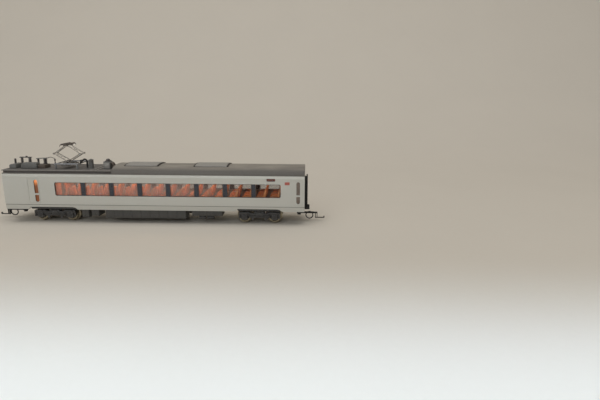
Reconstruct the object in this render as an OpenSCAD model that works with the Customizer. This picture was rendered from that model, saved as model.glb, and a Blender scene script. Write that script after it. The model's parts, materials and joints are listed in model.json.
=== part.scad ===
// Model passenger coach, 1:150 scale for 9 mm track: an intermediate coach with a pantograph.
// X runs along the coach, with the pantograph at the -X end. Y runs across it. Z is up, and
// Z = 0 is the lowest point of the wheel flanges.

/* [Body] */
// Length over the end walls
body_l = 137.2; // [130:0.02:142]
// Width over the sides
body_w = 19.4; // [19:0.1:20]
// Height of the skirt's lower edge
sill_z = 6.6; // [6.5:0.05:6.7]
// Height of the joint between body and roof
gutter_z = 23.0; // [22.8:0.1:23.2]
// Height of the roof's crown
crown_z = 26.8; // [26:0.1:27.5]
// X of the step between the low roof and the high roof
roof_step_x = -18.8; // [-19.5:0.1:-18.2]

/* [Windows] */
// X of the window strip's left end
win_x = -44.98; // [-45.4:0.02:-44.6]
// Distance between neighbouring panes
pane_pitch = 12.93; // [12.8:0.01:13]
// Number of panes in a side
pane_count = 8; // [8:1:8]
// Width of the pillars between the panes
pillar_w = 1.8; // [1.2:0.1:2.2]
// Height of the windows' lower edge
win_z0 = 13.1; // [12.6:0.1:13.6]
// Height of the windows' upper edge
win_z1 = 19.3; // [18.9:0.1:19.6]
// X of the door window's centre line at the pantograph end
door_front_x = -53.5; // [-54:0.1:-53]
// X of the door window's centre line at the other end
door_rear_x = 65.7; // [65.6:0.1:65.8]

/* [Running gear] */
// Distance from the coach's centre to each bogie pivot
bogie_x = 47.7; // [46.5:0.01:47.8]
// Distance between a bogie's two axles
wheelbase = 14; // [13.6:0.1:14.4]
// Radius of the wheel treads
tread_r = 2.85; // [2.7:0.05:2.9]
// Depth of the wheel flanges
flange_h = 0.7; // [0.5:0.05:0.8]

/* [Pantograph] */
// X of the pantograph's centre line
panto_x = -41.9; // [-42.2:0.1:-41.6]
// Height of the lower arms' pivots
panto_pivot_z = 27.1; // [27:0.05:27.3]
// Length of a lower arm between its pivots
lower_arm_l = 8.25; // [8:0.05:8.4]
// Angle of the lower arms above the horizontal
lift_angle = 30.6; // [20:0.1:36]

/* [Hidden] */
$fn = 40;

// Colours
ivory = [0.83, 0.84, 0.80];
roof_grey = [0.42, 0.40, 0.38];
deck_grey = [0.36, 0.34, 0.33];
cover_grey = [0.54, 0.53, 0.51];
gear_grey = [0.40, 0.41, 0.40];
dark_grey = [0.22, 0.22, 0.22];
rubber_black = [0.10, 0.10, 0.10];
clear_tint = [0.75, 0.80, 0.82, 0.4];
seat_orange = [0.72, 0.42, 0.28];
steel = [0.66, 0.66, 0.66];
brass = [0.72, 0.60, 0.36];
copper = [0.78, 0.50, 0.32];

// Body
half_l = body_l / 2;
half_w = body_w / 2;
end_wall = 1.2;
inner_y = half_w - 1.0;
sill_y = half_w - 0.25;
top_y = half_w - 0.3;
belt_z = 8.76;
shoulder_z = 21.9;
groove_w = 0.18;
groove_d = 0.15;
cut_z = sill_z + 1.15;
through = half_w + 1;

// Windows
end_trim = 0.63;
win_len = pane_count * pane_pitch - end_trim;
win_r = 0.8;
win_recess = 0.3;
fit = 0.04;
glaze_back = inner_y - 0.5;
glaze_front = half_w - 0.4;
door_front_w = 1.75;
door_rear_w = 1.6;
door_front_z = [10.13, 13.41, 14.16, 20.37];
door_rear_z = [10.37, 13.7, 14.46, 20.47];
sign_x = [51.4, 55.4];
sign_z = [20.57, 21.89];
marker_x = [59.65, 61.85];
marker_z = [19.1, 20.4];

// Roof
roof_h = crown_z - gutter_z;
roof_power = 2.3;
roof_steps = 44;
roof_wall = 0.9;
neck_z = 23.4;
deck_z = 24.4;
deck_top = deck_z + 0.2;
lip_z = deck_top + 0.25;
deck_y = top_y - 0.05;
cover_l = 15.9;
cover_y = 5.3;
cover_h = 0.45;
cover_x = [-14.2, 17.7];

// Underframe and inside
floor_z = 7.6;
floor_t = 0.8;
floor_top = floor_z + floor_t;
pin_r = 1.0;
pin_bore_r = 1.06;
tray_z = 9.0;
seat_pitch = pane_pitch / 2;
seat_rows = 2 * pane_count;
coupler_x = 66.0;
gangway_x = half_l + 1.35;

// Running gear
axle_z = flange_h + tread_r;
back_y = 3.7;
face_y = 5.6;
axle_r = 0.75;
journal_r = 0.28;
journal_bore_r = 0.34;
contact_y = 6.1;
frame_in = 6.3;
frame_out = 7.6;

// Pantograph: the right lower arm pivots left of the centre and the left one right of it.
pivot_dx = 0.9;
top_dx = 0.6;
upper_arm_l = lower_arm_l - pivot_dx - top_dx;
tube_r = 0.17;
knee_dx = lower_arm_l * cos(lift_angle) - pivot_dx;
knee_z = panto_pivot_z + lower_arm_l * sin(lift_angle);
upper_angle = acos((knee_dx - top_dx) / upper_arm_l);
top_z = knee_z + upper_arm_l * sin(upper_angle);
outer_arm_y = 2.3;
inner_arm_y = 1.7;
eye_w = 0.4;
eye_r = 0.42;
knee_shaft_r = 0.18;
knee_bore_r = 0.25;
top_shaft_r = 0.16;
hanger_y = 2.0;

// ---------- helpers ----------

module box(x, y, z) translate([x[0], y[0], z[0]]) cube([x[1] - x[0], y[1] - y[0], z[1] - z[0]]);

// A (Y, Z) outline swept along X.
module along_x(x0, x1) translate([x0, 0, 0]) rotate([90, 0, 90]) linear_extrude(x1 - x0) children();

// An (X, Z) outline swept along Y.
module along_y(y0, y1) translate([0, y1, 0]) rotate([90, 0, 0]) linear_extrude(y1 - y0) children();

module both_sides() {
    children();
    mirror([0, 1, 0]) children();
}

module both_ends() {
    children();
    mirror([1, 0, 0]) children();
}

// Round bar between two points.
module rod(a, b, r) {
    d = b - a;
    translate(a) rotate([0, acos(d[2] / norm(d)), atan2(d[1], d[0])]) cylinder(h = norm(d), r = r);
}

// Round bar along a path, with ball corners a little fatter than the bar.
module bent_rod(path, r) {
    for (i = [0 : len(path) - 2]) rod(path[i], path[i + 1], r);
    for (i = [1 : 1 : len(path) - 2]) translate(path[i]) sphere(r * 1.12);
}

// Cylinder along Y, centred on y.
module pin_y(x, y, z, r, w) translate([x, y + w / 2, z]) rotate([90, 0, 0]) cylinder(h = w, r = r);

module rounded_rect(x0, x1, z0, z1, r) {
    translate([x0, z0 + r]) square([x1 - x0, z1 - z0 - 2 * r]);
    translate([x0 + r, z0]) square([x1 - x0 - 2 * r, z1 - z0]);
    for (x = [x0 + r, x1 - r], z = [z0 + r, z1 - r]) translate([x, z]) circle(r);
}

// Ribbed insulator standing on z0.
module insulator(x, y, z0, z1, r, ribs) {
    translate([x, y, z0]) cylinder(h = z1 - z0, r = r * 0.6);
    step = (z1 - z0) / ribs;
    for (i = [0 : ribs - 1]) translate([x, y, z0 + (i + 0.3) * step]) cylinder(h = step * 0.4, r = r);
}

// ---------- body ----------

module window_outline(gap) {
    difference() {
        rounded_rect(win_x + gap, win_x + win_len - gap, win_z0 + gap, win_z1 - gap, win_r - gap);
        for (i = [1 : pane_count - 1])
            translate([win_x + i * pane_pitch - pillar_w / 2 - gap, win_z0 - 1])
                square([pillar_w + 2 * gap, win_z1 - win_z0 + 2]);
    }
}

// Slim door window: a lower pane with a round foot and an upper pane with a round head.
module door_outline(x, w, z, gap) {
    r = w / 2 - gap;
    translate([x - r, z[0] + w / 2]) square([2 * r, z[1] - gap - z[0] - w / 2]);
    translate([x, z[0] + w / 2]) circle(r);
    translate([x - r, z[2] + gap]) square([2 * r, z[3] - w / 2 - z[2] - gap]);
    translate([x, z[3] - w / 2]) circle(r);
}

module sign_outline(gap) {
    rounded_rect(sign_x[0] + gap, sign_x[1] - gap, sign_z[0] + gap, sign_z[1] - gap, 0.4 - gap);
}

module skirt_cut(x0, x1) {
    along_y(-through, through)
        polygon([[x0, sill_z - 1], [x0, sill_z], [x0 + 0.9, cut_z], [x1 - 2.2, cut_z],
                 [x1 - 1.0, cut_z - 0.3], [x1, sill_z], [x1, sill_z - 1]]);
}

module engraved_box(x0, x1, z0, z1) {
    along_y(-through, -half_w + groove_d) difference() {
        translate([x0, z0]) square([x1 - x0, z1 - z0]);
        translate([x0 + groove_w, z0 + groove_w])
            square([x1 - x0 - 2 * groove_w, z1 - z0 - 2 * groove_w]);
    }
}

module body_section() {
    polygon([[-sill_y, sill_z], [-half_w, belt_z], [-half_w, shoulder_z], [-top_y, gutter_z],
             [top_y, gutter_z], [half_w, shoulder_z], [half_w, belt_z], [sill_y, sill_z]]);
}

module body_shell() {
    color(ivory) difference() {
        along_x(-half_l, half_l) body_section();
        box([-half_l + end_wall, half_l - end_wall], [-inner_y, inner_y], [sill_z - 1, gutter_z + 1]);
        skirt_cut(-58.2, -35.6);
        skirt_cut(37.2, 58.4);
        both_sides() {
            along_y(-through, -half_w + win_recess)
                rounded_rect(win_x, win_x + win_len, win_z0, win_z1, win_r);
            along_y(-through, -inner_y + 1) {
                window_outline(0);
                door_outline(door_front_x, door_front_w, door_front_z, 0);
                door_outline(door_rear_x, door_rear_w, door_rear_z, 0);
                sign_outline(0);
            }
            box([-through - half_l, through + half_l], [-through, -half_w + groove_d],
                [belt_z, belt_z + groove_w]);
            engraved_box(door_front_x - 3.7, door_front_x + 1.4, belt_z + 0.8, 21.3);
            engraved_box(door_rear_x - 3.05, door_rear_x + 2.2, belt_z + 0.8, 21.3);
        }
        both_ends() box([half_l - 0.4, half_l + 1], [-2.6, 2.6], [8.6, 20.3]);
    }
}

module window_glazing() {
    color(clear_tint) {
        along_y(-glaze_front, -inner_y) window_outline(fit);
        box([win_x - 1, win_x + win_len + 1], [-inner_y, -glaze_back], [win_z0 - 0.8, win_z1 + 0.7]);
    }
}

module window_glazing_near() window_glazing();
module window_glazing_far() mirror([0, 1, 0]) window_glazing();

module door_glazing() {
    color(clear_tint) both_sides() {
        along_y(-glaze_front, -inner_y) {
            door_outline(door_front_x, door_front_w, door_front_z, fit);
            door_outline(door_rear_x, door_rear_w, door_rear_z, fit);
        }
        for (x = [door_front_x, door_rear_x])
            box([x - 1.4, x + 1.4], [-inner_y, -glaze_back], [9.6, 21]);
    }
}

module sign_lenses() {
    color([0.45, 0.20, 0.15]) both_sides() {
        along_y(-glaze_front, -inner_y) sign_outline(fit);
        box([sign_x[0] - 0.4, sign_x[1] + 0.4], [-inner_y, -glaze_back],
            [sign_z[0] - 0.3, sign_z[1] + 0.3]);
    }
}

module marker_plates() {
    color([0.75, 0.12, 0.10]) both_sides()
        box(marker_x, [-half_w - 0.08, -half_w], marker_z);
}

// ---------- roof ----------

function roof_side(a) = [
    (top_y) * sign(cos(a)) * pow(abs(cos(a)), 2 / roof_power),
    gutter_z + roof_h * pow(abs(sin(a)), 2 / roof_power)
];

module roof_section() polygon([for (i = [0 : roof_steps]) roof_side(180 * i / roof_steps)]);

module roof_shell() {
    color(roof_grey) difference() {
        union() {
            along_x(roof_step_x, half_l) roof_section();
            box([-half_l, roof_step_x], [-top_y, top_y], [gutter_z, neck_z]);
            box([-half_l + 0.3, roof_step_x], [-top_y + 0.65, top_y - 0.65], [neck_z, deck_z]);
        }
        box([roof_step_x + 1, half_l - 1], [-top_y + roof_wall, top_y - roof_wall],
            [gutter_z - 1, gutter_z + 0.6]);
        along_x(roof_step_x + 1, half_l - 1) translate([0, gutter_z * 0.12 - 0.05]) scale(0.88)
            roof_section();
        box([-half_l + 1, roof_step_x - 1], [-7.5, 7.5], [gutter_z - 1, neck_z]);
    }
}

module pantograph_deck() {
    color(deck_grey) {
        box([-half_l, roof_step_x], [-deck_y, deck_y], [deck_z, deck_top]);
        both_sides() box([-half_l, roof_step_x], [-deck_y, -deck_y + 0.35], [deck_top, lip_z]);
        box([-half_l, -half_l + 0.35], [-deck_y, deck_y], [deck_top, lip_z]);
    }
}

module aircon_cover(x) {
    color(cover_grey) along_x(x, x + cover_l) difference() {
        intersection() {
            translate([0, cover_h]) roof_section();
            translate([-cover_y, gutter_z + 1]) square([2 * cover_y, roof_h]);
        }
        roof_section();
    }
}

module aircon_cover_1() aircon_cover(cover_x[0]);
module aircon_cover_2() aircon_cover(cover_x[1]);

// ---------- inside ----------

// Double seat that faces -X, as an (X, Z) outline.
module seat_outline(x) {
    z = tray_z + 0.6;
    translate([x, z])
        polygon([[0.3, 0], [0.3, 1.2], [-0.4, 1.5], [-0.3, 2.7], [3.1, 2.6], [4.1, 6.6],
                 [4.6, 6.9], [5.2, 6.7], [5.2, 6.0], [4.4, 2.0], [4.1, 0]]);
}

module seat_tray() {
    color(seat_orange) {
        box([-61.5, 61.5], [-8.1, 8.1], [tray_z, tray_z + 0.6]);
        for (i = [0 : seat_rows - 1]) both_sides() {
            along_y(-7.9, -4.85) seat_outline(win_x + 0.6 + i * seat_pitch);
            along_y(-4.65, -1.6) seat_outline(win_x + 0.6 + i * seat_pitch);
            box([win_x + 1.4 + i * seat_pitch, win_x + 4.6 + i * seat_pitch], [-4.85, -4.65],
                [tray_z + 0.6, tray_z + 3.9]);
        }
        for (x = [win_x - 1.9, win_x + win_len + 1.2]) both_sides()
            box([x, x + 0.7], [-8.1, -2], [tray_z + 0.6, 20.4]);
    }
}

module light_guide_bar() {
    color(clear_tint) {
        box([-57, 66], [-2, 2], [21.2, 22.4]);
        for (x = [-40, 0, 40]) box([x, x + 2], [-2, 2], [22.4, gutter_z]);
    }
}

module light_unit() {
    color([0.20, 0.42, 0.26]) {
        box([-66.5, -57], [-3.4, 3.4], [20.6, 21.2]);
        box([-66.5, -61], [-2.4, 2.4], [21.2, 22.8]);
        pin_y(-58.6, 0, 22.0, 0.8, 3);
    }
}

module ballast_weight() {
    color(steel) box([-40, 40], [-5.4, 5.4], [floor_top, tray_z]);
}

module power_strips() {
    color(copper) both_sides() box([-60, 60], [-7.2, -6.0], [floor_top, floor_top + 0.2]);
}

// ---------- underframe ----------

// Lip under the floor's edge that closes the skirt's cut-out above a bogie.
module lip_outline(x0, x1) polygon([[x0, floor_z + 0.1], [x0, floor_z - 0.1], [x0 + 0.6, 6.55],
                                    [x1 - 0.6, 6.55], [x1, floor_z - 0.1], [x1, floor_z + 0.1]]);

module underframe() {
    color(dark_grey) difference() {
        union() {
            box([-half_l + end_wall, half_l - end_wall], [-8.55, 8.55], [floor_z, floor_top]);
            for (x = [-62, -24, 0, 24, 62]) both_sides()
                box([x - 1, x + 1], [-inner_y, -8.5], [floor_z, floor_top]);
            both_ends() translate([bogie_x, 0, 6.65]) cylinder(h = floor_z - 6.65, r = 2.4);
            both_sides() along_y(-8.55, -8.0) {
                lip_outline(-57.9, -36.2);
                lip_outline(37.6, 58.0);
            }
            for (x = [-54, 54]) both_sides()
                box([x - 1, x + 1], [-8.1, -7.4], [floor_top, tray_z]);
        }
        both_ends() translate([bogie_x, 0, 6]) cylinder(h = 4, r = pin_bore_r);
    }
}

// Equipment box under the floor, with engraved door joints on both sides.
module equipment_box(x, z0, doors) {
    step = (x[1] - x[0]) / doors;
    color(gear_grey) difference() {
        union() {
            box([x[0], x[1]], [-8.5, 8.5], [z0 + 0.25, floor_z]);
            box([x[0] + 0.2, x[1] - 0.2], [-8.3, 8.3], [z0, z0 + 0.25]);
        }
        both_sides() for (i = [1 : doors - 1])
            box([x[0] + i * step - 0.08, x[0] + i * step + 0.08], [-9, -8.35], [z0 + 0.5, 7.2]);
        box([x[0] - 1, x[1] + 1], [-2.2, 2.2], [z0 - 1, 5.2]);
    }
}

module equipment_box_1() equipment_box([-34.25, -31.06], 2.7, 2);
module equipment_box_2() equipment_box([-29.8, -26.3], 3.4, 2);
module equipment_box_3() equipment_box([-23.3, 14.0], 2.4, 9);
module equipment_box_4() equipment_box([16.9, 30.7], 3.9, 4);

// Air reservoirs hanging from equipment box 4, each with two straps.
module air_tanks() {
    color(dark_grey) both_sides() for (x = [19.7, 23.5]) {
        translate([x, -7.2, 3.1]) rotate([0, 90, 0]) cylinder(h = 3.4, r = 0.7);
        for (dx = [0.7, 2.5]) box([x + dx, x + dx + 0.4], [-7.5, -6.9], [3.1, 3.9]);
    }
}

// Bellows with a taller face frame at their outer end, and a footplate.
module gangway() {
    color(rubber_black) {
        along_x(half_l, gangway_x) difference() {
            rounded_rect(-4.6, 4.6, 7.2, 21.2, 1.2);
            rounded_rect(-2.9, 2.9, 8.3, 20.5, 0.5);
        }
        along_x(gangway_x - 0.7, gangway_x) difference() {
            rounded_rect(-4.8, 4.8, 7.0, 22.0, 1.6);
            rounded_rect(-2.9, 2.9, 8.3, 20.5, 0.5);
        }
        box([half_l, half_l + 2.3], [-3.4, 3.4], [6.4, 7.3]);
    }
}

module gangway_front() mirror([1, 0, 0]) gangway();
module gangway_rear() gangway();

// ---------- couplers ----------

module coupler_covers() {
    color(dark_grey) both_ends() {
        box([coupler_x - 2.4, half_l - end_wall - 0.03], [-2.6, 2.6], [6.7, floor_z]);
        translate([coupler_x, 0, 3.4]) cylinder(h = 3.4, r = 0.55);
        translate([coupler_x, 0, 3.1]) cylinder(h = 0.5, r = 0.85);
    }
}

module coupler_springs() {
    color(steel) both_ends() translate([coupler_x, 0, 4.5]) difference() {
        cylinder(h = 2.15, r = 0.85);
        translate([0, 0, -1]) cylinder(h = 5, r = 0.57);
    }
}

module coupler() {
    color(rubber_black) difference() {
        union() {
            translate([coupler_x, 0, 3.7]) cylinder(h = 0.7, r = 1.15);
            box([coupler_x, 74.7], [-0.55, 0.55], [3.75, 4.35]);
            for (x = [73.6, 74.4]) box([x, x + 0.3], [-0.35, 0.35], [1.5, 4.35]);
            box([73.6, 74.7], [-0.35, 0.35], [1.5, 1.85]);
            box([74.7, 78.1], [-0.3, 0.3], [1.5, 1.85]);
            box([77.7, 78.1], [-0.3, 0.3], [1.85, 2.5]);
            box([70.6, 71.2], [-1.3, 0.4], [4.3, 4.5]);
        }
        translate([coupler_x, 0, 3]) cylinder(h = 2, r = 0.61);
    }
}

module hose_loop() {
    color(rubber_black) translate([70.9, -1.0, 3.12]) rotate([90, 0, 0])
        rotate_extrude() translate([1.65, 0]) circle(0.26);
}

module coupler_front() mirror([1, 0, 0]) coupler();
module coupler_rear() coupler();
module hose_loop_front() mirror([1, 0, 0]) hose_loop();
module hose_loop_rear() hose_loop();

// ---------- roof gear ----------

module low_box() {
    color(gear_grey) along_y(-5, 1)
        polygon([[-67.7, deck_top], [-67.7, 26.1], [-67.2, 26.6], [-64.7, 26.6], [-64.6, deck_top]]);
}

module arrester_rod() {
    color(dark_grey) insulator(-66.75, -1.5, 26.6, 28.8, 0.55, 4);
}

module switch_frame() {
    color(dark_grey) {
        insulator(-63.8, -1, deck_top, 29.2, 0.7, 6);
        insulator(-60.1, -1, deck_top, 29.2, 0.8, 6);
        box([-64.8, -59.2], [-1.5, -0.5], [29.2, 29.6]);
        box([-61.9, -61.2], [-1.3, -0.7], [29.6, 30.0]);
    }
}

module breaker_box() {
    color(gear_grey) along_y(-5, -2.1)
        polygon([[-62.3, deck_top], [-62.3, 26.6], [-61.5, 27.4], [-55.3, 27.4], [-55, 27.1],
                 [-55, deck_top]]);
}

module busbar_stand() {
    color(dark_grey) {
        insulator(-56.2, -1, deck_top, 28.9, 0.6, 5);
        insulator(-52.9, -1, deck_top, 29.0, 1.0, 5);
        box([-54.9, -51.6], [-4, 0.6], [deck_top, 26.3]);
        along_y(-1.8, -0.2)
            polygon([[-56.8, 28.7], [-56.8, 29.05], [-51.6, 29.35], [-51.6, 28.95]]);
    }
}

// Lead from the busbar to the pantograph's frame, as one arc in an upright plane.
module pantograph_lead() {
    from = [-51.5, -1.0];
    to = [-46.0, -5.0];
    lead_z = 29.33;
    rise = 0.6;
    span = norm(to - from);
    bend_r = (span * span / 4 + rise * rise) / (2 * rise);
    half_angle = asin(span / 2 / bend_r);
    color(dark_grey) translate([(from[0] + to[0]) / 2, (from[1] + to[1]) / 2, lead_z + rise - bend_r])
        rotate([0, 0, atan2(to[1] - from[1], to[0] - from[0])]) rotate([90, 0, 0])
            rotate([0, 0, 90 - half_angle]) rotate_extrude(angle = 2 * half_angle, $fn = 96)
                translate([bend_r, 0]) circle(0.15, $fn = 16);
}

module arrester_cylinder() {
    color(gear_grey) {
        translate([-30.3, -3, deck_top]) cylinder(h = 0.4, r = 1.2);
        translate([-30.3, -3, deck_top + 0.4]) cylinder(h = 3.6, r = 1.0);
        translate([-30.3, -3, 28.6]) cylinder(h = 0.3, r = 1.1);
        translate([-30.3, -3, 28.9]) cylinder(h = 0.25, r = 0.5);
    }
}

module junction_box() {
    color(gear_grey) {
        box([-24.3, -21.2], [-4, -1], [deck_top, 28.1]);
        box([-23.5, -21.4], [-3.8, -1.6], [28.1, 28.5]);
        insulator(-22.45, -2.7, 28.5, 29.3, 0.9, 1);
    }
}

module roof_pipes() {
    color([0.30, 0.25, 0.21]) for (y = [-3.3, -1.9])
        bent_rod([[-21.2, y, 27.5], [-20.5, y, 27.6], [-19.9, y, 26.6], [-19.9, y, 25.9],
                  [roof_step_x, y, 25.9]], 0.4);
}

module deck_ducts() {
    color(deck_grey) for (x = [-28.4, -26.2])
        box([x, x + 0.6], [-8.6, 8.6], [deck_top, deck_top + 0.35]);
}

// Lead that rises from the deck, turns over a bend and comes down to its clamp.
module hv_lead() {
    bend_at = [-32.85, -3.6, 28.2];
    bend_r = 0.9;
    bend = 134;
    leg = 2.4;
    lead_r = 0.38;
    along = [-sin(bend), 0, cos(bend)];
    tip = bend_at + bend_r * [cos(bend), 0, sin(bend)];
    color(rubber_black) {
        translate([bend_at[0] + bend_r, bend_at[1], deck_top])
            cylinder(h = bend_at[2] - deck_top, r = lead_r);
        translate(bend_at) rotate([90, 0, 0]) rotate_extrude(angle = bend)
            translate([bend_r, 0]) circle(lead_r);
        translate(tip) sphere(lead_r * 1.12);
        rod(tip, tip + leg * along, lead_r);
        box([-35.6, -34.9], [-4.0, -3.2], [26.7, 27.3]);
    }
}

// ---------- pantograph ----------

base_x = [-46.4, -35.5];
rail_z = [26.8, 27.3];

module pantograph_insulators() {
    color(gear_grey) both_sides() for (x = [base_x[0] + 0.5, base_x[1] - 0.5])
        insulator(x, -5, deck_top, rail_z[0], 0.55, 3);
}

module pantograph_base() {
    color(gear_grey) difference() {
        union() {
            both_sides() {
                box(base_x, [-5.3, -4.7], rail_z);
                box([panto_x - pivot_dx - 0.6, panto_x - pivot_dx + 0.6], [-3.2, -2.7], [26.2, 27.7]);
                box([panto_x + pivot_dx - 0.6, panto_x + pivot_dx + 0.6], [-1.2, -0.8], [26.2, 27.7]);
            }
            for (x = [base_x[0] + 0.2, base_x[1] - 0.8]) box([x, x + 0.6], [-5, 5], [rail_z[0], 27.2]);
            box([panto_x - 1.7, panto_x + 1.7], [-5, 5], [26.1, 26.6]);
            both_sides() box([panto_x - 0.6, panto_x + 0.6], [-5.3, -4.7], [26.1, 26.8]);
            box([panto_x - 1.3, panto_x + 0.3], [-0.6, 0.6], [26.6, 28.2]);
            box([-36.9, -36.1], [-0.7, 0.7], [27.0, 28.3]);
            box([-36.9, -35.9], [-0.7, 0.7], [26.7, 27.0]);
            translate([-46.0, -5, rail_z[1]]) cylinder(h = 1.9, r = 0.35);
        }
        for (s = [-1, 1]) pin_y(panto_x + s * pivot_dx, 0, panto_pivot_z, 0.27, 7);
    }
}

module lift_springs() {
    color(steel) both_sides() translate([base_x[0] + 0.8, -4.1, 26.9]) rotate([0, 90, 0])
        cylinder(h = 3.4, r = 0.3);
    color(steel) both_sides() box([base_x[0] + 4.2, base_x[0] + 4.5], [-4.3, -3.9], [26.6, 27.2]);
}

// Lower arm of two tubes, drawn for an arm that points along +X. The stub shafts at its
// foot point outwards for the wide arm and inwards for the narrow arm.
module lower_arm(arm_y, foot_y) {
    px = panto_x - pivot_dx;
    kx = panto_x + knee_dx;
    along = [kx - px, knee_z - panto_pivot_z] / lower_arm_l;
    tie = 0.86 * lower_arm_l;
    color(steel) difference() {
        union() {
            both_sides() {
                rod([px, -arm_y, panto_pivot_z], [kx, -arm_y, knee_z], tube_r);
                pin_y(px, -arm_y, panto_pivot_z, 0.34, eye_w);
                pin_y(kx, -arm_y, knee_z, eye_r, eye_w);
                pin_y(px, -(arm_y + foot_y) / 2, panto_pivot_z, 0.2, abs(arm_y - foot_y));
            }
            pin_y(px + tie * along[0], 0, panto_pivot_z + tie * along[1], 0.13, 2 * arm_y);
        }
        pin_y(kx, 0, knee_z, knee_bore_r, 2 * arm_y + 2);
    }
}

// Upper arm with its knee shaft and top shaft, drawn for the +X knee.
module upper_arm(arm_y, shaft_y, top_y0) {
    kx = panto_x + knee_dx;
    tx = panto_x + top_dx;
    color(steel) {
        both_sides() rod([kx, -arm_y, knee_z], [tx, -top_y0, top_z], tube_r * 0.85);
        pin_y(kx, 0, knee_z, knee_shaft_r, 2 * shaft_y);
        pin_y(tx, 0, top_z, top_shaft_r, 2 * (hanger_y + 0.25));
        rod([kx, -arm_y, knee_z], [tx, top_y0, top_z], 0.1);
    }
}

module about_centre() translate([panto_x, 0, 0]) mirror([1, 0, 0]) translate([-panto_x, 0, 0]) children();

module lower_arm_right() lower_arm(outer_arm_y, 3.25);
module upper_arm_right() upper_arm(1.85, 2.65, 1.6);
module lower_arm_left() about_centre() lower_arm(inner_arm_y, 0.75);
module upper_arm_left() about_centre() upper_arm(1.3, 2.05, 1.45);

// Horn that carries on from both ends of a contact strip, as a (Y, Z) outline.
module horn_outline(z) {
    for (s = [-1, 1])
        polygon([[s * 4.0, z], [s * 4.7, z - 0.12], [s * 5.3, z - 0.7], [s * 5.3, z - 1.1],
                 [s * 5.05, z - 1.1], [s * 4.55, z - 0.5], [s * 4.0, z - 0.4]]);
}

module pantograph_head() {
    strip_dx = 1.0;
    strip_z = [top_z + 0.35, top_z + 1.0];
    color([0.36, 0.33, 0.33]) difference() {
        union() {
            for (s = [-1, 1]) {
                box([panto_x + s * strip_dx - 0.3, panto_x + s * strip_dx + 0.3], [-4.2, 4.2],
                    strip_z);
                along_x(panto_x + s * strip_dx - 0.15, panto_x + s * strip_dx + 0.15)
                    horn_outline(strip_z[1] - 0.1);
            }
            both_sides() {
                box([panto_x - 1.2, panto_x + 1.2], [-hanger_y - 0.15, -hanger_y + 0.15],
                    [top_z - 0.42, strip_z[0] + 0.1]);
                box([panto_x - 1.2, panto_x + 1.2], [-3.9, -3.6],
                    [strip_z[0] + 0.05, strip_z[1] - 0.15]);
            }
        }
        pin_y(panto_x + top_dx, 0, top_z, top_shaft_r + 0.07, 5);
        pin_y(panto_x - top_dx, 0, top_z, top_shaft_r + 0.16, 5);
    }
}

// ---------- bogies ----------

// Side frame outline of a bogie, about its own centre.
module side_frame_outline() {
    polygon([for (s = [[0, 1.9], [1.9, 1.9], [2.4, 2.9], [4.5, 2.9], [4.9, 2.1], [9.0, 2.1], [9.3, 2.6],
                       [9.3, 4.2], [9.7, 4.7], [9.7, 5.5], [9.2, 6.0], [4.6, 6.0], [4.0, 5.6],
                       [2.4, 5.6], [2.1, 6.2], [0, 6.2]]) s]);
}

module bogie_frame() {
    color(dark_grey) difference() {
        union() {
            both_sides() both_ends() along_y(-frame_out + 0.2, -frame_in) side_frame_outline();
            both_sides() for (x = [-wheelbase / 2, wheelbase / 2]) {
                pin_y(x, -frame_out + 0.1, axle_z, 1.15, 0.5);
                box([x - 1.6, x + 1.6], [-frame_out, -frame_out + 0.3], [4.9, 5.7]);
            }
            both_sides() {
                translate([0, -7.0, 5.2]) cylinder(h = 1.2, r = 1.5);
                box([-4.4, 4.4], [-frame_out, -frame_out + 0.3], [3.3, 3.9]);
            }
            box([-2.5, 2.5], [-frame_in, frame_in], [4.7, 5.9]);
            translate([0, 0, 5.9]) cylinder(h = 0.7, r = 2.4);
            translate([0, 0, 6.5]) cylinder(h = 2.15, r = pin_r);
            translate([0, 0, 8.45]) cylinder(h = 0.3, r = 1.3);
        }
        box([-1.5, 1.5], [-0.3, 0.3], [7.6, 10]);
        for (x = [-wheelbase / 2, wheelbase / 2]) pin_y(x, 0, axle_z, journal_bore_r, 2 * 6.95);
        both_sides() box([-8.6, 8.6], [-frame_in - 0.02, -frame_in + 1], [2.9, 4.2]);
    }
}

// Current collecting plates that the axle points turn in.
module bogie_contacts() {
    color(copper) both_sides() difference() {
        union() {
            box([-8.4, 8.4], [-frame_in, -contact_y], [2.9, 4.2]);
            box([3.0, 4.2], [-frame_in, -contact_y], [4.2, 6.4]);
        }
        for (x = [-wheelbase / 2, wheelbase / 2]) pin_y(x, -frame_in, axle_z, journal_bore_r, 3);
    }
}

module bogie_frame_front() translate([-bogie_x, 0, 0]) bogie_frame();
module bogie_frame_rear() translate([bogie_x, 0, 0]) bogie_frame();
module bogie_contacts_front() translate([-bogie_x, 0, 0]) bogie_contacts();
module bogie_contacts_rear() translate([bogie_x, 0, 0]) bogie_contacts();

function axle_x(n) = (n < 3 ? -bogie_x : bogie_x) + (n % 2 == 1 ? -1 : 1) * wheelbase / 2;

module axle(n) {
    color(steel) {
        pin_y(axle_x(n), 0, axle_z, axle_r, 2 * face_y);
        pin_y(axle_x(n), 0, axle_z, journal_r, 2 * 6.7);
    }
}

// Two wheels with a coned face and a flange on the inner side.
module wheels(n) {
    color(brass) both_sides() translate([axle_x(n), 0, axle_z]) rotate([90, 0, 0])
        rotate_extrude($fn = 72)
            polygon([[axle_r, back_y], [tread_r + 0.2, back_y], [tread_r + flange_h, back_y + 0.15],
                     [tread_r + flange_h, back_y + 0.35], [tread_r + 0.1, back_y + 0.6],
                     [tread_r, back_y + 0.8], [tread_r, face_y - 0.1], [tread_r - 0.1, face_y],
                     [tread_r - 0.5, face_y], [tread_r - 0.7, face_y - 0.4], [1.3, face_y - 0.4],
                     [1.1, face_y], [axle_r, face_y]]);
}

module axle_1() axle(1);
module axle_2() axle(2);
module axle_3() axle(3);
module axle_4() axle(4);
module wheels_1() wheels(1);
module wheels_2() wheels(2);
module wheels_3() wheels(3);
module wheels_4() wheels(4);

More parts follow.
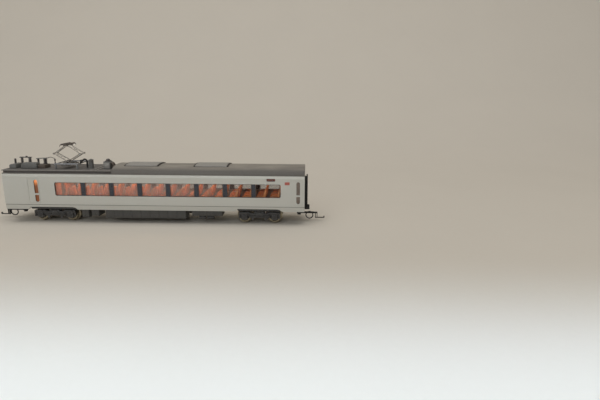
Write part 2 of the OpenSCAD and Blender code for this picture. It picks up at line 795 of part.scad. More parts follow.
body_shell();
roof_shell();
pantograph_deck();
aircon_cover_1();
aircon_cover_2();
window_glazing_near();
window_glazing_far();
door_glazing();
sign_lenses();
marker_plates();
seat_tray();
light_guide_bar();
light_unit();
ballast_weight();
power_strips();
underframe();
equipment_box_1();
equipment_box_2();
equipment_box_3();
equipment_box_4();
air_tanks();
gangway_front();
gangway_rear();
coupler_covers();
coupler_springs();
low_box();
arrester_rod();
switch_frame();
breaker_box();
busbar_stand();
pantograph_lead();
arrester_cylinder();
junction_box();
roof_pipes();
deck_ducts();
hv_lead();
pantograph_insulators();
pantograph_base();
lift_springs();
lower_arm_right();
upper_arm_right();
lower_arm_left();
upper_arm_left();
pantograph_head();
bogie_frame_front();
bogie_contacts_front();
bogie_frame_rear();
bogie_contacts_rear();
axle_1();
wheels_1();
axle_2();
wheels_2();
axle_3();
wheels_3();
axle_4();
wheels_4();
coupler_front();
hose_loop_front();
coupler_rear();
hose_loop_rear();
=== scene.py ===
import json
import math

import bmesh
import bpy
from mathutils import Matrix, Vector


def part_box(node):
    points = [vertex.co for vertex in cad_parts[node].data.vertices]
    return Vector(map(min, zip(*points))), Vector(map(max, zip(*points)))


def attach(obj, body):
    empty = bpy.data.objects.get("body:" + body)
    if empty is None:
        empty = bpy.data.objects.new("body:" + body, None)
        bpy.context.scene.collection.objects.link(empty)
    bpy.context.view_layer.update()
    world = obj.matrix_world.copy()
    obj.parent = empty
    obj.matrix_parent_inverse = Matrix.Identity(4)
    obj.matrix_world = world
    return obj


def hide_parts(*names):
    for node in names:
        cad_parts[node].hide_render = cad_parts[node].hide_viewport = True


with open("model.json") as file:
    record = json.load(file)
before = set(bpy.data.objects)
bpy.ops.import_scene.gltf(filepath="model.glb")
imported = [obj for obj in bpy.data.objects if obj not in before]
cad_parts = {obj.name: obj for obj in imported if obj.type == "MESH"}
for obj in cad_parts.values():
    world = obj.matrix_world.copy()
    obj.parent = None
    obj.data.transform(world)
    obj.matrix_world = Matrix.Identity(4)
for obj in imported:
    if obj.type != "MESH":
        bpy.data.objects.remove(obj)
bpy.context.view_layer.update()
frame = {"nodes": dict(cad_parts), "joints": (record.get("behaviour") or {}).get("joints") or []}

MM = 0.001
SIDES = (-1, 1)
AXES = {"x": Vector((1, 0, 0)), "y": Vector((0, 1, 0)), "z": Vector((0, 0, 1))}


# ---------- spans, and places taken from the frame, in millimetres ----------

def about(middle, half):
    """The (low, high) span round a middle."""
    return (middle - half, middle + half)


def inset(span, by):
    """The span cut back at both ends."""
    return (span[0] + by, span[1] - by)


def flip(side, low, high):
    """A span given for the positive side, on the side asked for."""
    return tuple(sorted((side * low, side * high)))


def mid(span):
    return (span[0] + span[1]) / 2


def polar(radius, degrees):
    """The two parts of a radius at an angle, along it and across it."""
    angle = math.radians(degrees)
    return radius * math.cos(angle), radius * math.sin(angle)


def spans(node):
    """The node's (low, high) span along X, Y and Z."""
    low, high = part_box(node)
    return [(low[i] / MM, high[i] / MM) for i in range(3)]


JOINT_AT = {j["name"]: Vector(j["pos_m"]) / MM for j in frame["joints"]}
BODY_X, BODY_Y = spans("body_shell")[:2]
ROOF_X, ROOF_Y, ROOF_Z = spans("roof_shell")
DECK_X, DECK_Y, DECK_Z = spans("pantograph_deck")
DECK_TOP = DECK_Z[1] - 0.25
STRIP_X, _, STRIP_Z = spans("window_glazing_near")
TRAY_X, TRAY_Y, TRAY_Z = spans("seat_tray")
DOOR_WINDOWS_X = inset(spans("door_glazing")[0], 1.4)


# ---------- mesh building ----------

def ring_frame(direction):
    """Two unit vectors at right angles to direction."""
    side = direction.orthogonal().normalized()
    return side, direction.cross(side).normalized()


def rounded_rect(u, v, radius, corner_steps=5):
    """Corner points of a rounded rectangle over the ranges u and v, anticlockwise."""
    points = []
    corners = ((u[1], v[1], 0), (u[0], v[1], 90), (u[0], v[0], 180), (u[1], v[0], 270))
    for cu, cv, start in corners:
        su = -1 if cu == u[1] else 1
        sv = -1 if cv == v[1] else 1
        for i in range(corner_steps + 1):
            du, dv = polar(radius, start + 90 * i / corner_steps)
            points.append((cu + su * radius + du, cv + sv * radius + dv))
    return points


def arc(centre, radius, start, end, steps):
    """Points of an arc, angles in degrees."""
    turned = (polar(radius, start + (end - start) * i / steps) for i in range(steps + 1))
    return [(centre[0] + u, centre[1] + v) for u, v in turned]


def smooth_path(points, steps=6):
    """Catmull-Rom curve through the points."""
    points = [Vector(p) for p in points]
    padded = [2 * points[0] - points[1]] + points + [2 * points[-1] - points[-2]]
    path = []
    for a, b, c, d in zip(padded, padded[1:], padded[2:], padded[3:]):
        for i in range(steps):
            t = i / steps
            path.append(0.5 * (2 * b + (c - a) * t + (2 * a - 5 * b + 4 * c - d) * t ** 2
                               + (3 * b - a - 3 * c + d) * t ** 3))
    return path + [points[-1]]


def coil_path(start, end, radius, turns, steps=14):
    """Helix of the given radius from start to end."""
    start, end = Vector(start), Vector(end)
    side, other = ring_frame((end - start).normalized())
    count = int(turns * steps)
    path = []
    for i in range(count + 1):
        u, v = polar(radius, 360 * turns * i / count)
        path.append(start.lerp(end, i / count) + side * u + other * v)
    return path


def placed(axis, along, point):
    """The outline point at a place along the axis."""
    u, v = point
    return {"x": (along, u, v), "y": (u, along, v), "z": (u, v, along)}[axis]


def linked(name, data):
    """Puts a new object in the scene."""
    made = bpy.data.objects.new(name, data)
    bpy.context.scene.collection.objects.link(made)
    return made


class Piece:
    """One mesh made up of simple closed solids. Lengths are in millimetres."""

    def __init__(self, name, slot, body="coach"):
        self.name = name
        self.slot = slot
        self.body = body
        self.bm = bmesh.new()
        self.materials = []

    def add(self, verts, faces, material, bevel=0.0):
        part = bmesh.new()
        made = [part.verts.new(v) for v in verts]
        for face in faces:
            part.faces.new([made[i] for i in face])
        bmesh.ops.recalc_face_normals(part, faces=part.faces)
        if bevel:
            sharp = [e for e in part.edges if e.calc_face_angle(0.0) > math.radians(32)]
            bmesh.ops.bevel(part, geom=sharp, offset=bevel, segments=2, affect="EDGES",
                            clamp_overlap=True, profile=0.5)
        if material not in self.materials:
            self.materials.append(material)
        index = self.materials.index(material)
        for face in part.faces:
            face.material_index = index
        scratch = bpy.data.meshes.new("scratch")
        part.to_mesh(scratch)
        part.free()
        self.bm.from_mesh(scratch)
        bpy.data.meshes.remove(scratch)

    def prism(self, outline, axis, span, material, bevel=0.05):
        """An outline swept along an axis. It holds (y, z), (x, z) or (x, y) points."""
        n = len(outline)
        verts = [placed(axis, a, p) for a in span for p in outline]
        faces = [(i, (i + 1) % n, n + (i + 1) % n, n + i) for i in range(n)]
        faces += [tuple(range(n)), tuple(range(n, 2 * n))]
        self.add(verts, faces, material, bevel)

    def box(self, x, y, z, material, bevel=0.05):
        corners = [(x[0], z[0]), (x[1], z[0]), (x[1], z[1]), (x[0], z[1])]
        self.prism(corners, "y", y, material, bevel)

    def side_box(self, side, x, y, z, material, bevel=0.05):
        """A box whose y range is given for the +Y side and drawn on the side asked for."""
        self.box(x, flip(side, *y), z, material, bevel)

    def ring(self, outer, inner, axis, span, material, bevel=0.04):
        """A closed ring between two outlines with equally many points, swept along an axis."""
        n = len(outer)
        verts = [placed(axis, a, p) for a in span for outline in (outer, inner) for p in outline]
        faces = []
        for i in range(n):
            j = (i + 1) % n
            faces += [(i, j, n + j, n + i), (2 * n + i, 2 * n + j, 3 * n + j, 3 * n + i),
                      (i, j, 2 * n + j, 2 * n + i), (n + i, n + j, 3 * n + j, 3 * n + i)]
        self.add(verts, faces, material, bevel)

    def lathe(self, profile, centre, axis, material, steps=28, closed=False, bevel=0.0):
        """A (radius, along) profile turned about an axis through centre."""
        along = AXES[axis] if isinstance(axis, str) else Vector(axis).normalized()
        side, other = ring_frame(along)
        centre = Vector(centre)
        n = len(profile)
        verts = []
        for i in range(steps):
            u, v = polar(1, 360 * i / steps)
            out = side * u + other * v
            verts += [centre + out * max(r, 1e-4) + along * a for r, a in profile]
        faces = []
        for i in range(steps):
            j = (i + 1) % steps
            for k in range(n if closed else n - 1):
                m = (k + 1) % n
                faces.append((i * n + k, i * n + m, j * n + m, j * n + k))
        if not closed:
            faces += [tuple(i * n + k for i in range(steps)) for k in (0, n - 1)]
        self.add(verts, faces, material, bevel)

    def disc(self, centre, axis, radius, width, material, bevel=0.04, steps=24):
        """A short cylinder centred on a point."""
        self.lathe([(radius, -width / 2), (radius, width / 2)], centre, axis, material, steps,
                   bevel=bevel)

    def eye(self, centre, outer, inner, width, material):
        """A bearing ring about Y."""
        half = width / 2
        ease = 0.04
        self.lathe([(inner, -half), (outer - ease, -half), (outer, -half + ease),
                    (outer, half - ease), (outer - ease, half), (inner, half)],
                   centre, "y", material, 20, closed=True)

    def tube(self, path, radius, material, sides=12):
        """A round bar along a path. radius is one number, or one for each point."""
        path = [Vector(p) for p in path]
        radii = radius if isinstance(radius, list) else [radius] * len(path)
        normal = ring_frame((path[1] - path[0]).normalized())[0]
        verts = []
        for i, point in enumerate(path):
            ahead = path[min(i + 1, len(path) - 1)] - path[max(i - 1, 0)]
            ahead.normalize()
            normal = (normal - ahead * normal.dot(ahead)).normalized()
            other = ahead.cross(normal)
            for k in range(sides):
                u, v = polar(radii[i], 360 * k / sides)
                verts.append(point + normal * u + other * v)
        faces = []
        last = (len(path) - 1) * sides
        for i in range(0, last, sides):
            for k in range(sides):
                m = (k + 1) % sides
                faces.append((i + k, i + m, i + sides + m, i + sides + k))
        faces += [tuple(range(sides)), tuple(range(last, last + sides))]
        self.add(verts, faces, material)

    def ball(self, centre, radius, material, steps=16):
        profile = arc((0, 0), radius, -90, 90, 8)
        self.lathe(profile, centre, "z", material, steps)

    def bolts(self, places, axis, radius, height, material):
        """Small six-sided bolt heads at the places given."""
        for place in places:
            self.lathe([(radius, 0), (radius, height * 0.7), (radius * 0.7, height)], place, axis,
                       material, 6)

    def done(self, *nodes):
        """Makes the object, in metres. It rides on its body and stands for the CAD nodes."""
        mesh = bpy.data.meshes.new(self.name)
        bmesh.ops.scale(self.bm, vec=(MM, MM, MM), verts=self.bm.verts)
        self.bm.to_mesh(mesh)
        self.bm.free()
        for material in self.materials:
            mesh.materials.append(material)
        mesh.shade_smooth()
        mesh.set_sharp_from_angle(angle=math.radians(34))
        piece = linked(self.name, mesh)
        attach(piece, self.body)
        if nodes:
            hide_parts(*nodes)


# ---------- materials ----------

def scaled(colour, factor):
    return tuple(min(c * factor, 1.0) for c in colour[:3]) + (1.0,)


def finish(name, colour, rough, metal=0.0, mottle=0.1, patch=6.0, grain=0.3, bump=0.2,
           dust_and_top_light=0.0, dust_and_light_from=0.55, dust_and_light_colour=(0.42, 0.39, 0.35), wear=0.0,
           wear_colour=(0.5, 0.48, 0.45), coat=0.0, glow=None, alpha=1.0, painted_low_shade=None,
           stretch=(1, 1, 1), painted_reflection_fade=None, glow_z=None):
    """A procedural surface: patchy tone, fine grain in bump and roughness, dust on what faces up,
    which where it is strong is also a painted highlight on a lit top, wear on edges, and painted
    shade that darkens the colour towards the bottom, below a height. patch and grain are sizes in
    millimetres. The dust start is the upward share of the normal where dust and painted top light
    begin. The low shade is (z, z, strength). The glass fade is (x, alpha, x, alpha) for glass whose
    painted reflection haze clears along the coach, and glow_z is (z, strength, z, strength) for a
    glow that changes with height. Glow on a part that is no lamp is painted light."""
    material = bpy.data.materials.new(name)
    material.use_nodes = True
    tree = material.node_tree
    new, link = tree.nodes.new, tree.links.new
    shader = tree.nodes["Principled BSDF"]

    place = new("ShaderNodeTexCoord").outputs["Object"]
    to_mm = new("ShaderNodeMapping")
    to_mm.inputs["Scale"].default_value = tuple(s / MM for s in stretch)
    link(place, to_mm.inputs["Vector"])

    def noise(size, detail):
        node = new("ShaderNodeTexNoise")
        node.inputs["Scale"].default_value = 1 / size
        node.inputs["Detail"].default_value = detail
        link(to_mm.outputs["Vector"], node.inputs["Vector"])
        return node.outputs["Fac"]

    def ramp(value, low, high, out_low, out_high):
        node = new("ShaderNodeMapRange")
        link(value, node.inputs["Value"])
        for key, number in (("From Min", low), ("From Max", high),
                            ("To Min", out_low), ("To Max", out_high)):
            node.inputs[key].default_value = number
        return node.outputs["Result"]

    def parts(vector):
        node = new("ShaderNodeSeparateXYZ")
        link(vector, node.inputs["Vector"])
        return node.outputs

    def times(a, b):
        node = new("ShaderNodeMath")
        node.operation = "MULTIPLY"
        link(a, node.inputs[0])
        link(b, node.inputs[1])
        return node.outputs["Value"]

    def mixed(factor, a, b):
        node = new("ShaderNodeMix")
        node.data_type = "RGBA"
        link(factor, node.inputs["Factor"])
        for key, value in (("A", a), ("B", b)):
            socket = [s for s in node.inputs if s.name == key and s.type == "RGBA"][0]
            if hasattr(value, "is_linked"):
                link(value, socket)
            else:
                socket.default_value = value
        return [s for s in node.outputs if s.type == "RGBA"][0]

    patches = noise(patch, 4)
    grains = noise(grain, 3)
    tone = mixed(ramp(patches, 0.3, 0.7, 0, 1), scaled(colour, 1 - mottle),
                 scaled(colour, 1 + mottle))
    tone = mixed(ramp(grains, 0.35, 0.75, 0, mottle * 1.5), tone, scaled(colour, 0.6))
    geometry = new("ShaderNodeNewGeometry")
    # Dust on what faces up; where it is strong it is also a painted highlight on a lit top.
    if dust_and_top_light:
        facing_up = ramp(parts(geometry.outputs["Normal"])["Z"], dust_and_light_from, 1.0, 0, dust_and_top_light)
        tone = mixed(times(facing_up, ramp(noise(patch * 0.4, 5), 0.3, 0.7, 0.4, 1)), tone,
                     dust_and_light_colour + (1.0,))
    # Painted shade: the colour darkens towards the bottom, below a height.
    if painted_low_shade:
        low = ramp(parts(place)["Z"], painted_low_shade[0] * MM, painted_low_shade[1] * MM, painted_low_shade[2], 0)
        tone = mixed(times(low, ramp(patches, 0.35, 0.65, 0.5, 1)), tone, scaled(colour, 0.45))
    if wear:
        edge = ramp(geometry.outputs["Pointiness"], 0.51, 0.58, 0, wear)
        tone = mixed(times(edge, ramp(grains, 0.35, 0.6, 0.3, 1)), tone, wear_colour + (1.0,))
    link(tone, shader.inputs["Base Color"])
    link(ramp(grains, 0.3, 0.7, max(rough - 0.07, 0.03), min(rough + 0.07, 1)),
         shader.inputs["Roughness"])
    relief = new("ShaderNodeBump")
    relief.inputs["Strength"].default_value = bump
    relief.inputs["Distance"].default_value = 0.05 * MM
    link(grains, relief.inputs["Height"])
    link(relief.outputs["Normal"], shader.inputs["Normal"])
    shader.inputs["Metallic"].default_value = metal
    shader.inputs["Coat Weight"].default_value = coat
    shader.inputs["Coat Roughness"].default_value = 0.15
    shader.inputs["Alpha"].default_value = alpha
    # Emission: a real lamp's glow, and painted light on parts that are no lamp.
    if glow:
        shader.inputs["Emission Color"].default_value = glow[0] + (1.0,)
        shader.inputs["Emission Strength"].default_value = glow[1]
    # Painted reflection: the glass alpha ramps along X, so the reflection haze fades along the
    # coach.
    if painted_reflection_fade:
        x0, alpha0, x1, alpha1 = painted_reflection_fade
        link(ramp(parts(place)["X"], x0 * MM, x1 * MM, alpha0, alpha1), shader.inputs["Alpha"])
    # Glow strength that changes with height, used for a painted glow on glass.
    if glow_z:
        z0, low, z1, high = glow_z
        link(ramp(parts(place)["Z"], z0 * MM, z1 * MM, low, high),
             shader.inputs["Emission Strength"])
    return material


# Body paint; its low setting is painted shade that darkens the sides towards the bottom.
PAINT = finish("body_paint", (0.605, 0.60, 0.55), 0.38, mottle=0.018, patch=14, grain=0.12,
               bump=0.05, coat=0.25, painted_low_shade=(5.6, 10.5, 0.2))
PILLAR = finish("pillar_dark", (0.032, 0.036, 0.05), 0.3, patch=3, coat=0.3)
WINDOW_EDGE = finish("window_edge_brown", (0.11, 0.075, 0.06), 0.4, patch=3)
GROOVE = finish("groove_shade", (0.16, 0.16, 0.135), 0.6, mottle=0.06)
REVEAL = finish("body_inside", (0.40, 0.36, 0.31), 0.6, mottle=0.05)
# Roof grey; its strong dust on what faces up also paints a highlight on the lit top of the roof.
ROOF = finish("roof_warm_grey", (0.121, 0.111, 0.099), 0.62, mottle=0.07, patch=9, grain=0.22,
              bump=0.22, dust_and_top_light=0.8, dust_and_light_from=0.8, dust_and_light_colour=(0.42, 0.38, 0.32), wear=0.2,
              stretch=(0.35, 1, 1))
DECK = finish("deck_dark_grey", (0.115, 0.105, 0.099), 0.68, mottle=0.14, patch=4, grain=0.25,
              bump=0.35, dust_and_top_light=0.25, dust_and_light_colour=(0.22, 0.205, 0.185), wear=0.3,
              wear_colour=(0.3, 0.28, 0.26))
# Slightly darker than the roof: painted shade in the recessed neck under the deck.
RECESS_SHADE = finish("recess_band_painted_shade", (0.108, 0.098, 0.093), 0.7, patch=5)
LIP = finish("deck_lip_grey", (0.17, 0.158, 0.15), 0.6, mottle=0.08, patch=4, dust_and_top_light=0.2, wear=0.3)
COVER = finish("cover_mid_grey", (0.31, 0.297, 0.272), 0.52, mottle=0.05, grain=0.2,
               bump=0.15, dust_and_top_light=0.18, dust_and_light_colour=(0.4, 0.385, 0.36), wear=0.25)
# Near black for vents on the cover ends and for painted contact shadow along the cover feet.
GRILLE_AND_SHADE = finish("grille_and_shade_dark", (0.035, 0.03, 0.028), 0.6, patch=2)
GEAR = finish("gear_grey", (0.135, 0.135, 0.13), 0.6, patch=2.5, grain=0.18, bump=0.3,
              dust_and_top_light=0.2, dust_and_light_colour=(0.25, 0.24, 0.22), wear=0.4, wear_colour=(0.33, 0.32, 0.3))
INSULATOR = finish("insulator_brown_grey", (0.06, 0.05, 0.052), 0.34, patch=1.5,
                   dust_and_top_light=0.12, coat=0.3)
METAL = finish("frame_steel_blue", (0.33, 0.342, 0.37), 0.42, metal=0.1, patch=2,
               grain=0.12, wear=0.4, wear_colour=(0.55, 0.55, 0.57))
FOOT = finish("foot_light_grey", (0.24, 0.245, 0.245), 0.45, patch=1.5, dust_and_top_light=0.12)
ARM = finish("arm_grey_brown", (0.25, 0.225, 0.2), 0.42, metal=0.65, mottle=0.12, patch=1.8,
             grain=0.1, wear=0.5, wear_colour=(0.55, 0.5, 0.45))
STRIP = finish("contact_strip_dark", (0.07, 0.06, 0.06), 0.45, metal=0.3, mottle=0.15, patch=1,
               grain=0.1, bump=0.4, wear=0.4, wear_colour=(0.35, 0.3, 0.26))
WIRE = finish("wire_dark", (0.06, 0.055, 0.055), 0.5, patch=1)
PIPE = finish("pipe_brown", (0.125, 0.098, 0.078), 0.6, mottle=0.14, patch=1.5, dust_and_top_light=0.2, bump=0.3)
UNDER = finish("underfloor_black", (0.035, 0.035, 0.036), 0.62, mottle=0.12, patch=3, grain=0.2,
               bump=0.3, dust_and_top_light=0.12, wear=0.3, wear_colour=(0.12, 0.115, 0.11))
EQUIP = finish("equipment_grey", (0.055, 0.054, 0.05), 0.6, mottle=0.09, patch=5, grain=0.2,
               bump=0.28, dust_and_top_light=0.12, wear=0.35, wear_colour=(0.16, 0.155, 0.15))
BOGIE = finish("bogie_dark", (0.035, 0.034, 0.034), 0.5, mottle=0.14, patch=2, grain=0.16,
               bump=0.3, dust_and_top_light=0.15, dust_and_light_colour=(0.14, 0.125, 0.11), wear=0.5,
               wear_colour=(0.15, 0.145, 0.14))
RUBBER = finish("rubber_black", (0.018, 0.018, 0.017), 0.75, mottle=0.15, patch=2, grain=0.15,
                bump=0.3, dust_and_top_light=0.06)
TREAD = finish("tread_bright", (0.40, 0.355, 0.26), 0.34, metal=1.0, mottle=0.08, patch=1,
               grain=0.08, bump=0.1)
WHEEL = finish("wheel_face", (0.12, 0.105, 0.085), 0.42, metal=0.6, mottle=0.15, patch=1.2,
               wear=0.5, wear_colour=(0.42, 0.37, 0.27))
STEEL = finish("bare_steel", (0.55, 0.55, 0.55), 0.3, metal=1.0, mottle=0.05, patch=2, grain=0.1,
               stretch=(0.2, 1, 1))
COPPER = finish("copper_strip", (0.75, 0.42, 0.24), 0.3, metal=1.0, patch=2, grain=0.1)
CONTACT = finish("blackened_copper", (0.06, 0.042, 0.034), 0.5, metal=0.6, mottle=0.15, patch=1.5,
                 grain=0.1, wear=0.2, wear_colour=(0.2, 0.12, 0.08))
# Seat orange; its faint orange emission is a painted glow, as the seats are no lamp.
SEAT = finish("seat_orange", (0.72, 0.27, 0.085), 0.5, mottle=0.06, patch=2.2, grain=0.18,
              bump=0.15, glow=((1.0, 0.40, 0.13), 0.012))
TRAY = finish("tray_brown", (0.36, 0.2, 0.13), 0.6, patch=4)
# Near glass: its pale pinkish tone, with alpha falling along X, is a painted reflection haze that
# fades along the coach.
GLASS = finish("clear_styrene", (0.65, 0.51, 0.46), 0.06, mottle=0.02, patch=12, grain=0.5,
               bump=0.02, painted_reflection_fade=(10, 0.17, 42, 0.012))
# Far glass: a dark copy of the same clear glazing, painted shade over the view through the coach.
SHADED_FAR_GLASS = finish("far_styrene_painted_shade", (0.10, 0.075, 0.06), 0.06, mottle=0.02, patch=12, grain=0.5,
                   bump=0.02, alpha=0.13)
# Door glass: the lit copy's orange emission, stronger towards the top, is a painted glow; the dark
# copy has none.
DOOR_PAINTED_GLOW = finish("door_glass_painted_glow", (0.26, 0.09, 0.045), 0.1, mottle=0.12, patch=2, alpha=0.85,
                  glow=((1.0, 0.34, 0.10), 0.2), glow_z=(17.5, 0.07, 20.2, 0.85))
DOOR_DARK = finish("door_glass_dark", (0.27, 0.21, 0.17), 0.08, mottle=0.3, patch=1.2, alpha=0.85)
SIGN = finish("smoked_lens", (0.2, 0.06, 0.045), 0.12, mottle=0.25, patch=1.0, alpha=0.85, coat=0.3)
MARKER = finish("marker_red", (0.48, 0.13, 0.10), 0.4, mottle=0.08, patch=0.8)
GUIDE = finish("light_guide", (0.95, 0.8, 0.62), 0.15, mottle=0.03, patch=5,
               glow=((1.0, 0.56, 0.28), 0.12), alpha=0.8)
BOARD = finish("circuit_board", (0.05, 0.2, 0.09), 0.4, mottle=0.2, patch=1.2, coat=0.3)


def skin(node, *materials):
    """Gives a CAD node that stays its own surface."""
    slots = frame["nodes"][node].data.materials
    slots.clear()
    for material in materials:
        slots.append(material)


# ---------- body ----------

PANE_COUNT = 8
PANE_PITCH = 12.93
PILLAR_W = 1.8
STRIP_LIP, SILL_LIP, HEAD_LIP = 1, 0.8, 0.7
ROOF_POWER = 2.3


def body_shell():
    """The CAD shell, with the dark pillars, dark brown window edges (partly the glazing's brown
    edge, partly painted shade on the recess walls), shaded groove and darker inside.
    """
    coats = [PAINT, PILLAR, WINDOW_EDGE, REVEAL, GROOVE]
    skin("body_shell", *coats)
    mesh = frame["nodes"]["body_shell"].data
    outer = BODY_Y[1]
    recess = outer - 0.3
    inner = outer - 1.0
    groove_z = (8.7, 9.0)
    strip = inset(STRIP_X, STRIP_LIP)
    glass_z = (STRIP_Z[0] + SILL_LIP, STRIP_Z[1] - HEAD_LIP)
    slack = 0.06
    for face in mesh.polygons:
        points = [mesh.vertices[i].co / MM for i in face.vertices]
        ys = [abs(p.y) for p in points]
        in_strip = all(strip[0] - slack < p.x < strip[1] + slack
                       and glass_z[0] - slack < p.z < glass_z[1] + slack for p in points)
        at_hole = abs(face.normal.y) < 0.5 and max(ys) > inner + 0.2 and min(ys) > inner - slack
        door = any(all(abs(p.x - x) < 1.0 and p.z > 9.9 for p in points) for x in DOOR_WINDOWS_X)
        zs = [p.z for p in points]
        in_groove = min(ys) > outer - 0.17 and min(zs) > groove_z[0] and max(zs) < groove_z[1]
        coat = PAINT
        if in_strip and max(ys) < recess + slack and min(ys) > inner - slack:
            coat = PILLAR
        # Walls of the window and door holes: dark brown, partly the glazing's brown edge and partly
        # painted shade in the recess.
        elif at_hole and (in_strip or door and max(zs) - min(zs) < 8):
            coat = WINDOW_EDGE
        elif in_groove:
            coat = GROOVE
        elif max(ys) < inner + slack and abs(face.normal.x) < 0.5:
            coat = REVEAL
        face.material_index = coats.index(coat)


def superellipse(half_width, height, steps=56):
    """The roof's outline from its +Y foot over the crown to its -Y foot."""
    points = []
    for i in range(steps + 1):
        angle = math.pi * i / steps
        c, s = math.cos(angle), math.sin(angle)
        points.append((half_width * math.copysign(abs(c) ** (2 / ROOF_POWER), c),
                       ROOF_Z[0] + height * abs(s) ** (2 / ROOF_POWER)))
    return points


def roof_height(y):
    """Height of the high roof's surface at y."""
    share = min(abs(y) / ROOF_Y[1], 1.0)
    return ROOF_Z[0] + (ROOF_Z[1] - ROOF_Z[0]) * (1 - share ** ROOF_POWER) ** (1 / ROOF_POWER)


def roof():
    piece = Piece("roof_moulding", "roof_plastic")
    step = DECK_X[1]
    high = (step, ROOF_X[1])
    crown = ROOF_Z[1] - ROOF_Z[0]
    piece.prism(superellipse(ROOF_Y[1], crown), "x", high, ROOF, bevel=0.12)
    for side in SIDES:
        bead_y = side * (ROOF_Y[1] - 0.95)
        bead_z = roof_height(bead_y)
        piece.tube([(step + 0.3, bead_y, bead_z), (ROOF_X[1] - 0.4, bead_y, bead_z)], 0.11, ROOF, 8)
        foot = ROOF_Z[0] + 0.32
        piece.side_box(side, (step, ROOF_X[1] - 0.05), (ROOF_Y[1] - 0.35, ROOF_Y[1]),
                       (ROOF_Z[0], foot), ROOF, 0.06)
    for x in (high[0] + 0.35, high[1] - 0.6):
        rim = superellipse(ROOF_Y[1] - 0.01, crown + 0.04)
        shrunk = [(y * 0.965, ROOF_Z[0] + (z - ROOF_Z[0]) * 0.965) for y, z in rim]
        piece.ring(rim, shrunk, "x", (x, x + 0.25), ROOF, 0.02)
    ledge = ROOF_Z[0] + 0.4
    piece.box((ROOF_X[0], step), ROOF_Y, (ROOF_Z[0], ledge), ROOF, 0.08)
    # The recessed neck under the deck, a little darker than the roof as painted shade.
    piece.box((ROOF_X[0] + 0.3, step), inset(ROOF_Y, 0.65), (ledge, DECK_Z[0]), RECESS_SHADE, 0.03)
    piece.done("roof_shell")


def deck():
    piece = Piece("pantograph_deck_plate", "deck_plastic")
    rear_end = DECK_X[0] + 0.02
    piece.box((rear_end, DECK_X[1]), inset(DECK_Y, 0.02), (DECK_Z[0], DECK_TOP), DECK, 0.05)
    for side in SIDES:
        piece.side_box(side, DECK_X, (DECK_Y[1] - 0.35, DECK_Y[1]), (DECK_Z[0] + 0.05, DECK_Z[1]),
                       LIP, 0.07)
        for x in range(int(DECK_X[0]) + 4, int(DECK_X[1]), 6):
            piece.side_box(side, (x, x + 0.3), (DECK_Y[1] - 1.3, DECK_Y[1] - 0.35),
                           (DECK_TOP, DECK_TOP + 0.12), DECK, 0.03)
    piece.box((rear_end, DECK_X[0] + 0.35), inset(DECK_Y, 0.3),
              (DECK_Z[0] + 0.05, DECK_Z[1] - 0.02), LIP, 0.07)
    rib_count = 16
    pitch = (DECK_X[1] - DECK_X[0]) / rib_count
    for i in range(1, rib_count):
        x = DECK_X[0] + i * pitch
        piece.box(about(x, 0.07), inset(DECK_Y, 1.5), (DECK_TOP, DECK_TOP + 0.06), DECK, 0.02)
    piece.done("pantograph_deck")


def aircon_cover(number):
    node = f"aircon_cover_{number}"
    x, y, z = spans(node)
    piece = Piece(f"aircon_hood_{number}", "cover_plastic")
    steps = 20
    top = [(y[1] - (y[1] - y[0]) * i / steps) for i in range(steps + 1)]
    rise = z[1] - ROOF_Z[1]
    outline = [(v, roof_height(v) + rise) for v in top]
    outline += [(v, roof_height(v) - 0.25) for v in reversed(top)]
    middle = inset(x, 0.7)
    piece.prism(outline, "x", middle, COVER, 0.1)
    ends = [(v * 0.97, roof_height(v) + rise * 0.72) for v in top]
    ends += [(v * 0.97, roof_height(v) - 0.2) for v in reversed(top)]
    # The dark ends are partly black vents and partly painted shade on the end faces.
    for end_x in ((x[0], middle[0]), (middle[1], x[1])):
        piece.prism(ends, "x", end_x, GRILLE_AND_SHADE, 0.03)
    # Dark tubes along the feet paint the contact shadow where the cover meets the roof.
    for side in SIDES:
        foot = side * (y[1] - 0.02)
        z_foot = roof_height(foot)
        piece.tube([(u, foot, z_foot + 0.02) for u in inset(x, 0.4)], 0.07, GRILLE_AND_SHADE, 8)
    slat_count = 5
    for i in range(slat_count):
        slat_y = y[0] + (y[1] - y[0]) * (i + 0.5) / slat_count
        top_z = roof_height(slat_y) + rise
        piece.tube([(u, slat_y, top_z - 0.03) for u in inset(x, 0.8)], 0.06, COVER, 8)
    corners = [(u, v, roof_height(v) + rise - 0.03) for v in inset(y, 0.6)
               for u in (x[0] + 0.7, mid(x), x[1] - 0.7)]
    piece.bolts(corners, "z", 0.16, 0.08, COVER)
    piece.done(node)


# ---------- inside ----------

SEAT_ROWS = 2 * PANE_COUNT
FLOOR_Z = TRAY_Z[0] + 0.6
PLINTH = ((0.4, 0), (3.9, 0), (3.7, 1.4), (0.4, 1.4))
CUSHION = ((-0.3, 1.4), (3.5, 1.3), (3.7, 2.5), (2.0, 2.35), (-0.1, 2.7), (-0.45, 2.2))
BACK = ((3.0, 1.6), (4.2, 1.6), (5.15, 6.2), (5.0, 6.75), (4.55, 6.85), (4.2, 6.3), (3.55, 4.0))
HEADREST = ((3.8, 5.2), (4.25, 5.1), (4.6, 6.5), (4.2, 6.55))


def seat(piece, x, y):
    """One seat of a pair, facing -X, with a rounded cushion, back and headrest."""
    for outline, gap, material, bevel in ((PLINTH, 0.35, TRAY, 0.1), (CUSHION, 0.1, SEAT, 0.28),
                                          (BACK, 0.12, SEAT, 0.26), (HEADREST, 0.4, SEAT, 0.15)):
        piece.prism([(x + u, FLOOR_Z + v) for u, v in outline], "y", inset(y, gap), material,
                    bevel)


